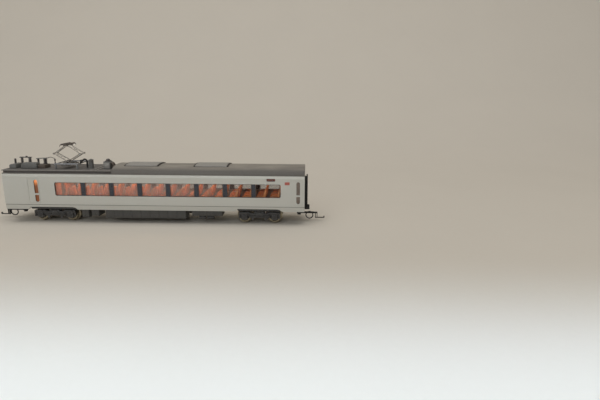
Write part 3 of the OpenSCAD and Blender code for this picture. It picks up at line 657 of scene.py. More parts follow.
def seats():
    piece = Piece("seats_and_floor", "seat_plastic")
    piece.box(TRAY_X, TRAY_Y, (TRAY_Z[0], FLOOR_Z), TRAY, 0.08)
    first = STRIP_X[0] + STRIP_LIP + 0.6
    for row in range(SEAT_ROWS):
        x = first + row * PANE_PITCH / 2
        for pair in ((-7.9, -4.85), (-4.65, -1.6), (1.6, 4.65), (4.85, 7.9)):
            seat(piece, x, pair)
        for side in SIDES:
            for arm_rest in ((7.88, 8.02), (4.68, 4.82), (1.48, 1.62)):
                piece.side_box(side, (x + 0.7, x + 3.9), arm_rest, about(FLOOR_Z + 3.5, 0.2),
                               SEAT, 0.06)
    for x in (STRIP_X[0] - 0.9, STRIP_X[1] + 0.2):
        for side in SIDES:
            piece.side_box(side, (x, x + 0.7), (2, 8.1), (FLOOR_Z, 20.4), SEAT, 0.08)
    piece.done("seat_tray")


def windows(name, side, glass):
    """One strip of glazing: a clear back plate, eight raised panes and their dark edge beads."""
    node = f"window_glazing_{name}"
    x, y, z = spans(node)
    piece = Piece(f"window_strip_{name}", "glazing")
    back, front = sorted((abs(y[0]), abs(y[1])))
    seat_y = back + 0.5
    strip = inset(x, STRIP_LIP)
    sill, head = z[0] + SILL_LIP, z[1] - HEAD_LIP
    piece.side_box(side, x, (back, seat_y), z, glass, 0.04)
    gap = 0.05
    bead = 0.2
    for i in range(PANE_COUNT):
        a = strip[0] + gap + (i * PANE_PITCH + PILLAR_W / 2 if i else 0)
        b = min(strip[0] + (i + 1) * PANE_PITCH - PILLAR_W / 2, strip[1]) - gap
        corner = 0.7 if i in (0, PANE_COUNT - 1) else 0.12
        pane = rounded_rect((a, b), (sill + gap, head - gap), corner, 4)
        piece.prism(pane, "y", flip(side, seat_y + 0.01, front - 0.02), glass, 0.0)
        ring = rounded_rect((a + bead, b - bead), (sill + gap + bead, head - gap - bead),
                            max(corner - bead, 0.06), 4)
        piece.ring(pane, ring, "y", flip(side, front - 0.1, front + 0.06), WINDOW_EDGE, 0.0)
    piece.done(node)


def inside():
    seats()
    skin("light_guide_bar", GUIDE)
    skin("light_unit", BOARD)
    skin("ballast_weight", STEEL)
    skin("power_strips", COPPER)
    windows("near", -1, GLASS)
    windows("far", 1, SHADED_FAR_GLASS)
    # The -X door gets the copy with the painted glow, the +X door the plain dark copy.
    skin("door_glazing", DOOR_DARK, DOOR_PAINTED_GLOW)
    for face in frame["nodes"]["door_glazing"].data.polygons:
        face.material_index = 1 if face.center.x < 0 else 0
    skin("sign_lenses", SIGN)
    skin("marker_plates", MARKER)


# ---------- under the floor ----------

def equipment_box(number, doors, louvred):
    """A box under the floor with door panels, hinges and louvres on both sides."""
    node = f"equipment_box_{number}"
    x, y, z = spans(node)
    piece = Piece(f"equipment_case_{number}", "equipment_plastic")
    channel = 2.2
    face = y[1] - 0.12
    piece.prism([(-face, z[0] + 0.3), (-face + 0.25, z[0]), (-channel, z[0]), (-channel, 5.2),
                 (channel, 5.2), (channel, z[0]), (face - 0.25, z[0]), (face, z[0] + 0.3),
                 (face, z[1]), (-face, z[1])], "x", x, EQUIP, 0.05)
    pitch = (x[1] - x[0]) / doors
    low, high = z[0] + 0.45, 7.15
    lip = (y[1] - 0.05, y[1])
    for side in SIDES:
        for i in range(doors):
            a, b = x[0] + i * pitch + 0.12, x[0] + (i + 1) * pitch - 0.12
            piece.side_box(side, (a, b), (face - 0.05, y[1] - 0.02), (low, high), EQUIP, 0.04)
            middle = (a + b) / 2
            if i in louvred:
                count = int((high - low - 0.9) / 0.42)
                for k in range(count):
                    slat = low + 0.45 + k * 0.42
                    piece.side_box(side, (a + 0.35, b - 0.35), lip, (slat, slat + 0.2), EQUIP, 0.03)
            else:
                for hinge in (a + 0.3, b - 0.3):
                    piece.side_box(side, about(hinge, 0.12), lip, (high - 0.3, high + 0.1),
                                   EQUIP, 0.03)
                piece.side_box(side, about(middle, 0.22), lip, (low + 0.35, low + 0.5), UNDER, 0.02)
        for hanger in inset(x, 0.3):
            piece.side_box(side, about(hanger, 0.15), (y[1] - 0.4, y[1]), (7.1, z[1]), UNDER, 0.03)
    piece.done(node)


def air_tanks():
    piece = Piece("air_reservoirs", "underframe_plastic")
    x, _, z = spans("air_tanks")
    radius = 0.7
    length = 3.4
    for start in (x[0], x[1] - length):
        for side in SIDES:
            centre = (start, side * 7.2, z[0] + radius)
            dome = [(radius * v, 0.35 - 0.35 * u) for u, v in arc((0, 0), 1, 0, 90, 6)]
            profile = dome + [(r, length - along) for r, along in reversed(dome)]
            piece.lathe(profile, centre, "x", BOGIE, 24)
            for strap in (0.9, 2.7):
                piece.lathe([(radius + 0.04, a) for a in about(strap, 0.2)], centre, "x",
                            UNDER, 24, bevel=0.02)
                piece.side_box(side, about(start + strap, 0.2), (6.9, 7.5),
                               (z[0] + radius, z[1]), UNDER, 0.04)
            piece.disc((start + length / 2, side * 7.2, z[0] + 0.05), "z", 0.16, 0.1, UNDER)
    piece.done("air_tanks")


def gangway(end, side):
    """Pleated rubber bellows behind a taller face frame, with a ribbed footplate below."""
    node = f"gangway_{end}"
    z = spans(node)[2]
    piece = Piece(f"gangway_bellows_{end}", "rubber_black")
    wall = BODY_X[1]
    depth, frame_depth, pleats = 1.35, 0.62, 2

    def between(low, high):
        return flip(side, wall + low, wall + high)

    doorway = rounded_rect((-2.9, 2.9), (8.3, 20.5), 0.5)
    pleat = (depth - frame_depth) / pleats
    for i in range(pleats):
        start = i * pleat
        piece.ring(rounded_rect((-4.6, 4.6), (7.2, 21.2), 1.2), doorway, "x",
                   between(start, start + 0.6 * pleat), RUBBER, 0.06)
        piece.ring(rounded_rect((-4.42, 4.42), (7.38, 21.02), 1.1),
                   rounded_rect((-3.0, 3.0), (8.2, 20.6), 0.5), "x",
                   between(start + 0.6 * pleat, start + pleat), RUBBER)
    piece.ring(rounded_rect((-4.8, 4.8), (7.0, z[1]), 1.6), doorway, "x",
               between(depth - frame_depth, depth), RUBBER, 0.07)
    plate = between(0, 2.3)
    piece.box(plate, (-3.4, 3.4), (z[0], 7.18), RUBBER, 0.15)
    for i in range(9):
        rib = -2.8 + 0.7 * i
        piece.box(inset(plate, 0.25), about(rib, 0.1), (7.1, 7.3), RUBBER, 0.04)
    piece.done(node)


def coupler(end, side):
    """An arm with an eye on its pivot, a rib on top and a hook hung below it."""
    node = f"coupler_{end}"
    piece = Piece(f"coupler_arm_{end}", "rubber_black", f"coupler_{end}")
    pivot = JOINT_AT[f"coupler_{end}_swing"]

    pin = side * pivot.x
    bore = 0.61
    piece.lathe([(bore, -0.35), (1.1, -0.35), (1.15, -0.3), (1.15, 0.3), (1.1, 0.35), (bore, 0.35)],
                pivot, "z", RUBBER, 28, closed=True)
    piece.box(flip(side, pin + 1.0, 74.7), (-0.55, 0.55), (3.75, 4.35), RUBBER, 0.1)
    piece.box(flip(side, pin + 2.0, 73.0), (-0.16, 0.16), (4.3, 4.5), RUBBER, 0.05)
    for x in (73.6, 74.4):
        piece.box(flip(side, x, x + 0.3), (-0.35, 0.35), (1.5, 4.35), RUBBER, 0.06)
    piece.box(flip(side, 73.62, 74.68), (-0.34, 0.34), (1.51, 1.84), RUBBER, 0.06)
    hook = [(74.5, 1.5), (77.9, 1.5), (78.1, 1.7), (78.1, 2.42), (78.0, 2.5), (77.78, 2.5),
            (77.6, 2.0), (77.4, 1.85), (74.5, 1.85)]
    piece.prism([(side * u, v) for u, v in hook], "y", (-0.3, 0.3), RUBBER, 0.05)
    piece.box(flip(side, 70.6, 71.2), (-1.3, 0.4), (4.3, 4.5), RUBBER, 0.05)
    piece.done(node)


def hose(end):
    """Brake hose loop with a collar at each end of its top."""
    node = f"hose_loop_{end}"
    x, y, z = spans(node)
    piece = Piece(f"brake_hose_{end}", "rubber_black", f"coupler_{end}")
    centre = Vector((mid(x), mid(y), mid(z)))
    radius = (y[1] - y[0]) / 2
    ring = (x[1] - x[0]) / 2 - radius
    section = arc((ring, 0), radius * 0.94, 0, 330, 11)
    piece.lathe(section, centre, "y", RUBBER, 44, closed=True)
    for angle in (68, 112):
        u, v = polar(1, angle)
        piece.disc(centre + ring * Vector((u, 0, v)), (-v, 0, u), radius, 0.44, WIRE, 0.03, 14)
    piece.done(node)


def coupler_springs():
    piece = Piece("coupler_coils", "steel")
    for side in SIDES:
        x = side * abs(JOINT_AT["coupler_rear_swing"].x)
        piece.tube(coil_path((x, 0, 4.6), (x, 0, 6.55), 0.72, 4.5), 0.1, STEEL, 8)
    piece.done("coupler_springs")


# ---------- roof gear ----------

def shed_stack(piece, x, y, z, radius, sheds, material=INSULATOR):
    """A ribbed insulator: drooping sheds on a core, with a metal cap and foot."""
    z0, z1 = z
    fitting = min(0.3, 0.12 * (z1 - z0))
    pitch = (z1 - z0 - 2 * fitting) / sheds
    core = radius * 0.58
    profile = [(core, 0.0)]
    for i in range(sheds):
        base = fitting + i * pitch
        profile += [(core, base + 0.12 * pitch), (radius * 0.96, base + 0.2 * pitch),
                    (radius, base + 0.32 * pitch), (radius * 0.93, base + 0.45 * pitch),
                    (core, base + 0.8 * pitch)]
    profile.append((core, z1 - z0))
    piece.lathe(profile, (x, y, z0), "z", material, 24)
    for low, high in ((z0, z0 + fitting), (z1 - fitting, z1)):
        piece.disc((x, y, (low + high) / 2), "z", radius * 0.8, high - low, GEAR, 0.04)


def low_box():
    x, y, z = spans("low_box")
    piece = Piece("low_equipment_box", "roof_gear_plastic")
    lid = z[1] - 0.42
    low, high = inset(x, 0.02)
    piece.prism([(low, z[0]), (low, lid), (high, lid), (high, z[0])], "y", y, GEAR, 0.08)
    piece.prism([(x[0] + 0.04, lid - 0.02), (x[0] + 0.5, z[1]), (x[1] - 0.1, z[1]),
                 (x[1] - 0.04, lid - 0.02)], "y", inset(y, 0.06), GEAR, 0.08)
    for v in inset(y, 0.7):
        piece.box((x[0] + 0.6, x[1] - 0.5), about(v, 0.08), (z[1] - 0.03, z[1]), GEAR, 0.01)
    corners = [(u, v, z[1] - 0.03) for u in (x[0] + 0.8, x[1] - 0.4) for v in inset(y, 0.35)]
    piece.bolts(corners, "z", 0.12, 0.03, GEAR)
    for v in inset(y, 1):
        piece.box(x, about(v, 0.2), (z[0], z[0] + 0.15), UNDER, 0.03)
    piece.done("low_box")


def arrester_rod():
    x, y, z = spans("arrester_rod")
    piece = Piece("surge_arrester", "insulator_dark")
    shed_stack(piece, mid(x), mid(y), z, (x[1] - x[0]) / 2, 6)
    piece.done("arrester_rod")


def switch_frame():
    x, _, z = spans("switch_frame")
    piece = Piece("disconnecting_switch", "insulator_dark")
    beam = (29.2, 29.6)
    for post, radius in ((-63.8, 0.7), (-60.1, 0.8)):
        shed_stack(piece, post, -1, (DECK_TOP, beam[0]), radius, 7)
    piece.box((x[0], x[1]), (-1.5, -0.5), (beam[0], beam[0] + 0.14), GEAR, 0.03)
    for v in (-1.42, -0.7):
        piece.box(inset(x, 0.1), (v, v + 0.14), (beam[0] + 0.1, beam[1]), WIRE, 0.03)
    for u in (x[0] + 0.35, x[0] + 1.6, x[1] - 1.6, x[1] - 0.35):
        piece.box(about(u, 0.16), (-1.45, -0.55), (beam[0] + 0.1, beam[1] - 0.02), WIRE, 0.04)
    piece.box((-61.9, -61.2), (-1.3, -0.7), (beam[1] - 0.05, z[1]), INSULATOR, 0.08)
    piece.tube([(x[0] + 0.1, -1, beam[0] + 0.3), (x[1] - 0.1, -1, beam[0] + 0.3)], 0.11, STEEL, 10)
    piece.done("switch_frame")


def breaker_box():
    x, y, z = spans("breaker_box")
    piece = Piece("circuit_breaker_box", "roof_gear_plastic")
    low, high = inset(x, 0.02)
    top = z[1] - 0.06
    piece.prism([(low, z[0]), (low, z[1] - 0.85), (low + 0.8, top), (high - 0.35, top),
                 (high, z[1] - 0.4), (high, z[0])], "y", inset(y, 0.02), GEAR, 0.12)
    piece.box(x, y, (z[0], z[0] + 0.22), UNDER, 0.04)
    rib_count = 4
    for i in range(rib_count):
        u = x[0] + 1.4 + i * (x[1] - x[0] - 2.6) / (rib_count - 1)
        piece.box(about(u, 0.1), inset(y, 0.3), (z[1] - 0.12, z[1]), GEAR, 0.04)
    for v, out in zip(inset(y, 0.03), SIDES):
        piece.bolts([(u, v, z[0] + 0.5) for u in (x[0] + 0.5, mid(x), x[1] - 0.5)], (0, out, 0),
                    0.12, 0.03, WIRE)
    piece.done("breaker_box")


def busbar_stand():
    piece = Piece("busbar_support", "insulator_dark")
    y = -1
    posts = (-56.2, -52.9)
    shed_stack(piece, posts[0], y, (DECK_TOP, 28.85), 0.6, 7)
    shed_stack(piece, posts[1], y, (26.2, 29.0), 0.95, 4)
    piece.prism([(-54.9, DECK_TOP), (-54.9, 26.0), (-54.6, 26.3), (-51.8, 26.3), (-51.6, 26.1),
                 (-51.6, DECK_TOP)], "y", (-4, 0.6), PIPE, 0.08)
    for v in (-3.4, -1.7, 0.0):
        piece.box((-54.7, -51.8), about(v, 0.12), (26.25, 26.36), PIPE, 0.03)
    piece.prism([(-56.8, 28.7), (-56.8, 29.0), (-51.6, 29.3), (-51.6, 28.98)], "y", (-1.8, -0.2),
                GEAR, 0.05)
    for x in posts:
        bar_top = 29.0 + 0.3 * (x + 56.8) / 5.2
        piece.bolts([(x, y, bar_top - 0.02)], "z", 0.2, 0.1, STEEL)
    piece.done("busbar_stand")


def pantograph_lead():
    piece = Piece("pantograph_cable", "wire_dark")
    start, end = Vector((-51.5, -1.0, 29.2)), Vector((-46.0, -5.0, 29.33))
    path = []
    steps = 18
    for i in range(steps + 1):
        t = i / steps
        point = start.lerp(end, t)
        point.z += 4 * 0.5 * t * (1 - t)
        path.append(point)
    piece.tube(path, 0.13, WIRE, 10)
    for at, along in ((path[0], path[1] - path[0]), (path[-1], path[-1] - path[-2])):
        piece.lathe([(0.19, -0.02), (0.19, 0.28)], at - along.normalized() * 0.14, along, STEEL, 12,
                    bevel=0.03)
    piece.done("pantograph_lead")


def arrester_cylinder():
    x, y, z = spans("arrester_cylinder")
    centre = (mid(x), mid(y), z[0])
    piece = Piece("arrester_drum", "roof_gear_plastic")
    top = z[1] - z[0]
    piece.lathe([(1.2, 0), (1.2, 0.32), (1.14, 0.4), (1.0, 0.44), (1.0, 3.9), (1.02, 3.98),
                 (1.1, 4.02), (1.1, 4.22), (1.0, 4.3), (0.55, 4.32), (0.5, 4.4), (0.5, top - 0.05),
                 (0.42, top)], centre, "z", GEAR, 36)
    for level in (1.3, 2.3, 3.2):
        piece.lathe([(1.0, -0.08), (1.045, -0.04), (1.045, 0.04), (1.0, 0.08)],
                    (mid(x), mid(y), z[0] + level), "z", GEAR, 36)
    piece.bolts([(centre[0] + 1.1 * math.cos(a), centre[1] + 1.1 * math.sin(a), z[0] + 0.34)
                 for a in (0.5, 2.1, 3.7, 5.2)], "z", 0.08, 0.07, STEEL)
    piece.done("arrester_cylinder")


def junction_box():
    x, y, z = spans("junction_box")
    piece = Piece("junction_cabinet", "roof_gear_plastic")
    piece.box(x, (y[0] + 0.04, y[1]), (z[0], 27.95), GEAR, 0.12)
    piece.box(inset(x, 0.06), inset(y, 0.06), (27.9, 28.1), GEAR, 0.06)
    piece.box((-23.5, -21.4), (-3.8, -1.6), (28.05, 28.5), WIRE, 0.08)
    piece.lathe([(0.85, 0), (0.88, 0.12), (0.88, 0.5), (0.78, 0.68), (0.45, z[1] - 28.45)],
                (-22.45, -2.7, 28.45), "z", INSULATOR, 28)
    piece.box(inset(x, 0.35), (y[0], y[0] + 0.1), (z[0] + 0.5, 27.5), COVER, 0.03)
    piece.bolts([(u, y[0] + 0.05, v) for u in inset(x, 0.5) for v in (z[0] + 0.7, 27.3)],
                (0, -1, 0), 0.1, 0.05, STEEL)
    piece.done("junction_box")


def roof_pipes():
    piece = Piece("conduits", "roof_gear_plastic")
    step = DECK_X[1]
    for v in (-3.3, -1.9):
        bends = ((-21.15, 27.5), (-20.7, 27.5), (-20.2, 27.1), (-19.95, 26.5), (-19.7, 26.0),
                 (-19.3, 25.9), (step, 25.9))
        piece.tube(smooth_path([(u, v, w) for u, w in bends], 5), 0.37, PIPE, 14)
        for u, level in ((-21.05, 27.5), (step - 0.12, 25.9)):
            piece.disc((u, v, level), "x", 0.44, 0.2, GEAR)
    piece.done("roof_pipes")


def deck_ducts():
    x, y, z = spans("deck_ducts")
    piece = Piece("cable_ducts", "deck_plastic")
    for start in (x[0], x[1] - 0.6):
        piece.box((start + 0.02, start + 0.58), y, (z[0], z[1] - 0.04), COVER, 0.08)
        for i in range(7):
            v = y[0] + 1.0 + i * (y[1] - y[0] - 2.0) / 6
            piece.box((start, start + 0.6), about(v, 0.15), (z[0], z[1]), DECK, 0.03)
    piece.done("deck_ducts")


def hv_lead():
    piece = Piece("high_voltage_lead", "rubber_black")
    foot = Vector((-31.95, -3.6, DECK_TOP))
    points = [foot, foot + Vector((0, 0, 1.8)), foot + Vector((0, 0, 3.4))]
    bend = (-32.85, 28.2)
    points += [(u, foot.y, v) for u, v in arc(bend, 0.9, 15, 134, 7)]
    points += [(-34.35, foot.y, 28.0), (-35.2, foot.y, 27.17)]
    piece.tube(smooth_path(points, 4), 0.36, RUBBER, 14)
    piece.disc(foot + Vector((0, 0, 0.25)), "z", 0.62, 0.5, GEAR)
    piece.box((-35.6, -34.9), (-4.0, -3.2), (26.7, 27.3), GEAR, 0.06)
    piece.done("hv_lead")


# ---------- pantograph ----------

PANTO_X = (JOINT_AT["pantograph_lift"].x + JOINT_AT["lift_left"].x) / 2
BASE_X = spans("pantograph_base")[0]
RAIL_Y = (4.72, 5.28)
RAIL_Z = (26.8, 27.3)
HANGER_Y = 2.0


def pantograph_insulators():
    piece = Piece("pantograph_feet", "insulator_dark")
    for x in inset(BASE_X, 0.5):
        for side in SIDES:
            shed_stack(piece, x, side * 5, (DECK_TOP, RAIL_Z[0]), 0.55, 4, FOOT)
    piece.done("pantograph_insulators")


def pantograph_base():
    piece = Piece("pantograph_frame", "pantograph_metal")
    right, left = JOINT_AT["pantograph_lift"], JOINT_AT["lift_left"]
    for side in SIDES:
        for flange in ((RAIL_Z[0], RAIL_Z[0] + 0.14), (RAIL_Z[1] - 0.14, RAIL_Z[1])):
            piece.side_box(side, BASE_X, RAIL_Y, flange, METAL, 0.03)
        piece.side_box(side, BASE_X, inset(RAIL_Y, 0.06), inset(RAIL_Z, 0.05), METAL, 0.02)
        for x in (BASE_X[0] + 0.5, PANTO_X - 2.4, PANTO_X, PANTO_X + 2.4, BASE_X[1] - 0.5):
            piece.side_box(side, about(x, 0.12), inset(RAIL_Y, 0.02), inset(RAIL_Z, 0.03), METAL,
                           0.03)
        for pivot, y in ((right, (2.7, 3.2)), (left, (0.8, 1.2))):
            outline = [(pivot.x - 0.6, 26.2), (pivot.x + 0.6, 26.2), (pivot.x + 0.6, 26.9)]
            outline += arc((pivot.x, pivot.z), 0.58, 0, 180, 8) + [(pivot.x - 0.6, 26.9)]
            span = flip(side, *y)
            piece.prism(outline, "y", span, GEAR, 0.05)
            piece.eye((pivot.x, mid(span), pivot.z), 0.42, 0.27, y[1] - y[0] + 0.1, ARM)
        piece.side_box(side, about(PANTO_X, 0.6), (4.7, 5.3), (26.1, 26.85), GEAR, 0.06)
        piece.tube([(BASE_X[0] + 0.6, side * 4.3, 27.0), (BASE_X[0] + 3.4, side * 3.4, 27.0),
                    (PANTO_X - 1.4, side * 3.2, 26.7)], 0.12, ARM, 8)
    for x in inset(BASE_X, 0.5):
        piece.tube([(x, -4.9, 27.0), (x, 4.9, 27.0)], 0.24, GEAR, 12)
    piece.box(about(PANTO_X, 1.7), (-5, 5), (26.1, 26.6), DECK, 0.08)
    for x in about(PANTO_X, 1.2):
        piece.box(about(x, 0.2), (-4.6, 4.6), (26.55, 26.66), ARM, 0.03)
    cylinder = ((-1.3, 26.6), (-1.3, 27.7), (-0.9, 28.2), (0, 28.2), (0.3, 27.7), (0.3, 26.6))
    piece.prism([(PANTO_X + u, v) for u, v in cylinder], "y", (-0.6, 0.6), WIRE, 0.1)
    piece.disc((PANTO_X - 0.5, 0, 27.45), "y", 0.5, 1.44, INSULATOR, 0.06, 20)
    piece.box((-36.9, -35.9), (-0.7, 0.7), (26.7, 27.05), GEAR, 0.05)
    piece.prism([(-36.9, 27.0), (-36.1, 27.0), (-36.25, 28.3), (-36.75, 28.3)], "y", (-0.7, 0.7),
                WIRE, 0.08)
    knob = (BASE_X[0] + 0.4, -5, RAIL_Z[1])
    piece.lathe([(0.35, 0), (0.35, 0.2), (0.2, 0.3), (0.2, 1.2), (0.34, 1.35), (0.34, 1.8),
                 (0.25, 1.9)], knob, "z", INSULATOR, 20)
    piece.done("pantograph_base")


def lift_springs():
    """Two coils, each on its rod with a hook plate at the end."""
    piece = Piece("raising_springs", "steel")
    start = BASE_X[0] + 0.8
    for side in SIDES:
        y, z = side * 4.1, 26.9
        piece.tube(coil_path((start, y, z), (start + 3.4, y, z), 0.23, 13, 10), 0.07, STEEL, 6)
        piece.tube([(start, y, z), (start + 3.7, y, z)], 0.08, ARM, 8)
        piece.side_box(side, (start + 3.4, start + 3.7), (3.9, 4.3), (26.6, 27.2), METAL, 0.05)
    piece.done("lift_springs")


def lower_arm(side_name, arm_y, foot_y):
    """Two tubes with eyes at the knee, stub shafts at the foot, a tie and crossed wires."""
    body = f"lower_arm_{side_name}"
    piece = Piece(f"lower_link_{side_name}", "pantograph_metal", body)
    foot = JOINT_AT["pantograph_lift" if side_name == "right" else "lift_left"]
    knee = JOINT_AT[f"knee_{side_name}"]

    def at(share, y):
        return foot.lerp(knee, share) + Vector((0, y, 0))

    for side in SIDES:
        piece.tube([at(0.0, side * arm_y), at(0.4, side * arm_y), at(0.965, side * arm_y)],
                   [0.2, 0.18, 0.15], ARM, 12)
        piece.disc(at(0, side * arm_y), "y", 0.34, 0.4, ARM, 0.06)
        piece.disc(at(0, side * (arm_y + foot_y) / 2), "y", 0.2, abs(arm_y - foot_y), STEEL, 0.02)
        piece.eye(at(1, side * arm_y), 0.42, 0.25, 0.4, ARM)
    for share, radius in ((0.86, 0.13), (0.45, 0.09)):
        piece.tube([at(share, -arm_y), at(share, arm_y)], radius, ARM, 10)
    for side in SIDES:
        piece.tube([at(0.47, -side * arm_y), at(0.84, side * arm_y)], 0.05, WIRE, 6)
    piece.done(body)


def upper_arm(side_name, arm_y, shaft_y, top_y, top):
    """Two tubes that close in towards the top, shafts at both ends, a tie and crossed wires."""
    body = f"upper_arm_{side_name}"
    piece = Piece(f"upper_link_{side_name}", "pantograph_metal", body)
    knee = JOINT_AT[f"knee_{side_name}"]

    def at(share, side):
        y = side * (arm_y + (top_y - arm_y) * share)
        return knee.lerp(top, share) + Vector((0, y, 0))

    for side in SIDES:
        piece.tube([at(0, side), at(0.5, side), at(1, side)], [0.15, 0.135, 0.12], ARM, 12)
        piece.ball(at(0, side), 0.2, ARM)
        piece.tube([at(0.06, -side), at(0.94, side)], 0.055, WIRE, 6)
    piece.disc(knee, "y", 0.18, 2 * shaft_y, STEEL, 0.03)
    piece.disc(top, "y", 0.16, 2 * (HANGER_Y + 0.25), STEEL, 0.03)
    piece.tube([at(0.5, -1), at(0.5, 1)], 0.07, ARM, 8)
    piece.done(body)


def pantograph_head():
    """Two contact strips in segments, with drooping horns, on two sprung hangers."""
    piece = Piece("collector_head", "contact_strip", "pantograph_head")
    top = JOINT_AT["head_level"]
    low, high = top.z + 0.35, spans("pantograph_head")[2][1]
    strip_dx = 1.0
    half = 4.2
    for sign in SIDES:
        cx = PANTO_X + sign * strip_dx
        piece.box(about(cx, 0.3), (-half, half), (low, high - 0.14), STRIP, 0.07)
        segments = 6
        for i in range(segments):
            a = -half + 0.15 + i * (2 * half - 0.3) / segments
            b = a + (2 * half - 0.3) / segments - 0.06
            piece.box(about(cx, 0.22), (a, b), (high - 0.2, high), STRIP, 0.04)
        for side in SIDES:
            horn = smooth_path([(cx, side * 3.9, high - 0.3), (cx, side * 4.4, high - 0.33),
                                (cx, side * 4.85, high - 0.55), (cx, side * 5.12, high - 0.85),
                                (cx, side * 5.14, high - 1.18)], 5)
            piece.tube(horn, 0.15, STRIP, 10)
    for side in SIDES:
        foot = ((1.2, low + 0.1), (1.2, low - 0.1), (1.0, top.z - 0.42), (0.83, top.z - 0.42))
        outline = [(PANTO_X - u, v) for u, v in foot]
        outline += arc((PANTO_X - 0.6, top.z), 0.3, 200, -20, 8)
        outline += arc((PANTO_X + 0.6, top.z), 0.24, 200, -20, 8)
        outline += [(PANTO_X + u, v) for u, v in reversed(foot)]
        piece.prism(outline, "y", about(side * HANGER_Y, 0.15), STRIP, 0.0)
        piece.side_box(side, about(PANTO_X, 1.2), (3.6, 3.9), (low + 0.05, high - 0.15), STRIP,
                       0.04)
        for sign in SIDES:
            x, z = PANTO_X + sign * (strip_dx - 0.4), low + 0.02
            piece.tube(coil_path((x, side * 3.4, z), (x, side * 2.3, z), 0.1, 5, 8), 0.035,
                       STEEL, 6)
    piece.done("pantograph_head")


# ---------- bogies ----------

def bogie_side(piece, cx, side):
    """One side frame with its axle boxes, springs, air spring, dampers and brake gear."""
    inner, outer = 6.3, 7.25

    def mirrored(points):
        return [(cx + u, v) for u, v in points] + [(cx - u, v) for u, v in reversed(points)]

    beam = [(2.2, 3.0), (3.4, 2.7), (4.4, 2.9), (4.9, 3.6), (5.6, 4.4), (6.9, 4.75), (8.4, 4.45),
            (9.2, 4.2), (9.6, 4.5), (9.65, 5.2), (9.2, 5.7), (4.8, 5.75), (3.9, 5.3), (2.4, 5.2),
            (2.1, 5.9)]
    piece.prism(mirrored(beam), "y", flip(side, inner, outer), BOGIE, 0.12)
    web = flip(side, outer - 0.05, outer + 0.1)
    piece.prism(mirrored([(0.4, 3.5), (3.0, 3.2), (4.0, 3.5), (4.6, 4.4), (4.2, 4.9), (0.4, 4.9)]),
                "y", web, BOGIE, 0.05)
    for sign in SIDES:
        ax = cx + sign * 7.0
        z = 3.55
        piece.side_box(side, about(ax, 1.35), (inner + 0.05, 7.35), (2.05, 4.7), BOGIE, 0.22)
        piece.disc((ax, side * 7.38, z), "y", 0.95, 0.24, BOGIE, 0.08, 28)
        piece.disc((ax, side * 7.46, z), "y", 0.5, 0.24, BOGIE, 0.06, 20)
        for k in range(6):
            u, v = polar(0.74, 60 * k + 30)
            piece.bolts([(ax + u, side * 7.49, z + v)], (0, side, 0), 0.1, 0.07, UNDER)
        for sx in about(ax, 1.75):
            if abs(sx - cx) < 9.1:
                piece.tube(coil_path((sx, side * 6.95, 3.0), (sx, side * 6.95, 4.55), 0.3, 4.5, 12),
                           0.09, UNDER, 7)
                piece.side_box(side, about(sx, 0.45), (6.5, 7.35), (2.75, 3.0), BOGIE, 0.06)
        piece.prism([(ax - 1.5, 4.9), (ax + 1.5, 4.9), (ax + 1.1, 5.7), (ax - 1.1, 5.7)], "y",
                    flip(side, 7.2, 7.55), BOGIE, 0.08)
        piece.tube([(cx + sign * u, side * 7.4, 4.1) for u in (1.9, 4.6)], 0.2, UNDER, 12)
        for u in (4.75, 1.75):
            piece.disc((cx + sign * u, side * 7.4, 4.1), "x", 0.27, 0.3, BOGIE)
        piece.side_box(side, about(cx + sign * 3.0, 0.5), (6.6, 7.4), (2.0, 2.9), BOGIE, 0.12)
        piece.side_box(side, about(cx + sign * 9.3, 0.35), (6.4, 7.1), (2.6, 4.4), BOGIE, 0.08)
    air_spring = [(0.8, 0.0), (1.2, 0.05), (1.35, 0.3), (1.35, 0.55), (1.2, 0.75), (1.35, 0.92),
                  (1.3, 1.15), (0.9, 1.2)]
    piece.lathe(air_spring, (cx, side * 6.2, 5.2), "z", BOGIE, 28)
    piece.side_box(side, about(cx, 4.4), (7.28, 7.5), (3.25, 3.5), BOGIE, 0.05)
    piece.side_box(side, about(cx, 1.4), (7.2, 7.52), (4.5, 5.25), BOGIE, 0.1)


def bogie(end):
    """Two side frames joined by a bolster, with motor gear between the axles and the pivot."""
    node = f"bogie_frame_{end}"
    cx = JOINT_AT[f"bogie_{end}_swivel"].x
    piece = Piece(f"bogie_{end}_frame_casting", "underframe_plastic", f"bogie_{end}")
    for side in SIDES:
        bogie_side(piece, cx, side)
    piece.box(about(cx, 2.5), (-6.4, 6.4), (4.7, 5.9), BOGIE, 0.15)
    for sign in SIDES:
        piece.box(about(cx + sign * 2.0, 0.3), (-5.0, 5.0), (4.4, 4.75), BOGIE, 0.06)
        for side in SIDES:
            piece.side_box(side, about(cx + sign * 4.0, 0.45), (3.6, 4.6), (3.4, 4.7), UNDER, 0.1)
        piece.tube([(cx + sign * 1.0, 0, 5.0), (cx + sign * 3.8, 0, 4.6)], 0.6, BOGIE, 16)
    piece.lathe([(2.4, 0), (2.4, 0.6), (2.3, 0.7), (1.0, 0.72), (0.98, 2.55), (1.3, 2.6),
                 (1.28, 2.72), (1.0, 2.85)], (cx, 0, 5.9), "z", BOGIE, 32)
    piece.done(node)
    skin(f"bogie_contacts_{end}", CONTACT)


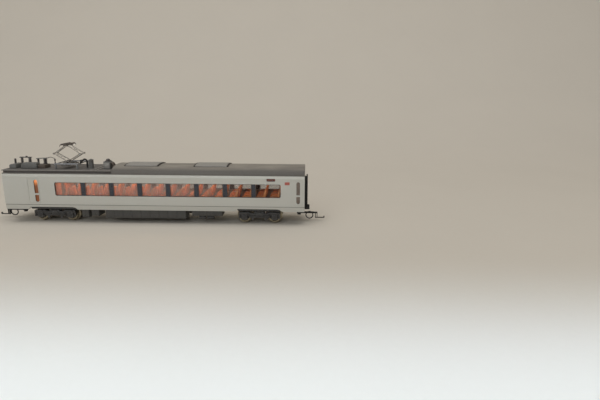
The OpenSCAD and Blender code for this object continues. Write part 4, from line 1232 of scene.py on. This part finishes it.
def wheelset(number):
    """Two wheels: a bright tyre with its flange on a darker dished disc, and the hub."""
    centre = JOINT_AT[f"axle_{number}_spin"]
    piece = Piece(f"wheel_pair_{number}", "wheel_metal", f"wheelset_{number}")
    back, face, tread, flange = 3.7, 5.6, 2.85, 3.55
    for side in SIDES:
        tyre = [(2.2, back), (3.0, back), (flange - 0.06, back + 0.1), (flange, back + 0.2),
                (flange - 0.02, back + 0.34), (3.1, back + 0.52), (2.94, back + 0.66),
                (tread + 0.02, back + 0.8), (tread, face - 0.12), (tread - 0.1, face), (2.36, face),
                (2.28, face - 0.06), (2.2, face - 0.4)]
        piece.lathe([(r, side * a) for r, a in tyre], centre, "y", TREAD, 64, closed=True)
        disc = [(0.76, back), (2.22, back), (2.22, face - 0.42), (1.9, face - 0.5),
                (1.4, face - 0.45), (1.2, face - 0.2), (1.1, face - 0.02), (0.76, face)]
        piece.lathe([(r, side * a) for r, a in disc], centre, "y", WHEEL, 48, closed=True)
        for k in range(8):
            u, v = polar(1.68, 45 * k)
            place = centre + Vector((u, side * (face - 0.5), v))
            piece.bolts([place], (0, side, 0), 0.12, 0.1, TREAD)
    piece.done(f"wheels_{number}")
    skin(f"axle_{number}", STEEL)


# ---------- stage ----------

def set_camera():
    """The view from beside the coach's +X end, through a short lens, looking slightly down."""
    place = Vector((0.07034, -0.20546, 0.05874))
    yaw, pitch, roll = (math.radians(a) for a in (1.109, 13.332, 0.376))
    right = Vector((math.cos(yaw), math.sin(yaw), 0))
    level = Vector((-math.sin(yaw), math.cos(yaw), 0))
    ahead = level * math.cos(pitch) - Vector((0, 0, 1)) * math.sin(pitch)
    up = right.cross(ahead)
    right, up = (right * math.cos(roll) + up * math.sin(roll),
                 up * math.cos(roll) - right * math.sin(roll))
    data = bpy.data.cameras.new("camera")
    data.sensor_width = 36
    data.lens = 26.72
    data.clip_start = 0.005
    data.clip_end = 20
    camera = linked("camera", data)
    turn = Matrix((right, up, -ahead)).transposed()
    camera.matrix_world = Matrix.Translation(place) @ turn.to_4x4()
    bpy.context.scene.camera = camera


def area_light(name, place, target, size, power, colour=(1, 1, 1), spread=180):
    data = bpy.data.lights.new(name, "AREA")
    data.spread = math.radians(spread)
    data.shape = "RECTANGLE"
    data.size, data.size_y = size
    data.energy = power
    data.color = colour
    light = linked(name, data)
    light.location = place
    light.rotation_euler = (Vector(target) - Vector(place)).to_track_quat("-Z", "Y").to_euler()
    light.visible_camera = False


def backdrop():
    """A plain pale floor that curves up into the wall behind."""
    material = finish("pale_paper", (0.725, 0.675, 0.595), 0.85, mottle=0.01, patch=60, grain=2.0,
                      bump=0.03)
    half, bend, start, near, top = 16.0, 0.35, 0.12, -16.0, 9.0
    profile = [(near, 0.0), (start, 0.0)]
    profile += arc((start, bend), bend, -84, 0, 14)
    profile.append((start + bend, top))
    verts = [(x, y, z) for x in (-half, half) for y, z in profile]
    n = len(profile)
    mesh = bpy.data.meshes.new("floor")
    mesh.from_pydata(verts, [], [(i, i + 1, n + i + 1, n + i) for i in range(n - 1)])
    mesh.materials.append(material)
    mesh.shade_smooth()
    linked("floor", mesh)


def lights():
    world = bpy.data.worlds.new("soft_room")
    world.use_nodes = True
    background = world.node_tree.nodes["Background"]
    background.inputs["Color"].default_value = (1.0, 0.97, 0.93, 1)
    background.inputs["Strength"].default_value = 0.24
    bpy.context.scene.world = world
    area_light("overhead", (0.0, -0.15, 0.9), (0.0, 0.0, 0.0), (1.2, 0.7), 3.45, (1.0, 0.985, 0.96))
    area_light("front_window", (-0.2, -0.9, 0.5), (0.05, -0.25, 0.0), (0.9, 0.5), 2.3,
               (0.93, 0.97, 1.0))
    area_light("table_pool", (0.05, -0.135, 0.25), (0.05, -0.135, 0.0), (0.7, 0.07), 0.15,
               (0.6, 0.78, 1.0), 27)
    lamp_z = spans("light_guide_bar")[2][0] * MM - 0.0006
    for x, power in ((-38, 0.0018), (-8, 0.0020), (22, 0.0015), (50, 0.0002)):
        area_light(f"cabin_{x}", (x * MM, 0, lamp_z), (x * MM, 0, 0), (0.028, 0.003), power,
                   (1.0, 0.55, 0.28))


# ---------- everything ----------

set_camera()
backdrop()
lights()
body_shell()
roof()
deck()
for number in (1, 2):
    aircon_cover(number)
inside()
skin("underframe", UNDER)
skin("coupler_covers", UNDER)
equipment_box(1, 2, (1,))
equipment_box(2, 2, ())
equipment_box(3, 9, (1, 2, 5))
equipment_box(4, 4, (0,))
air_tanks()
for end, side in (("front", -1), ("rear", 1)):
    gangway(end, side)
    coupler(end, side)
    hose(end)
    bogie(end)
coupler_springs()
low_box()
arrester_rod()
switch_frame()
breaker_box()
busbar_stand()
pantograph_lead()
arrester_cylinder()
junction_box()
roof_pipes()
deck_ducts()
hv_lead()
pantograph_insulators()
pantograph_base()
lift_springs()
head_top = JOINT_AT["head_level"]
other_top = Vector((2 * PANTO_X - head_top.x, 0, head_top.z))
lower_arm("right", arm_y=2.3, foot_y=3.25)
upper_arm("right", arm_y=1.85, shaft_y=2.65, top_y=1.6, top=head_top)
lower_arm("left", arm_y=1.7, foot_y=0.75)
upper_arm("left", arm_y=1.3, shaft_y=2.05, top_y=1.45, top=other_top)
pantograph_head()
for number in (1, 2, 3, 4):
    wheelset(number)

bpy.context.scene.view_settings.view_transform = "Standard"
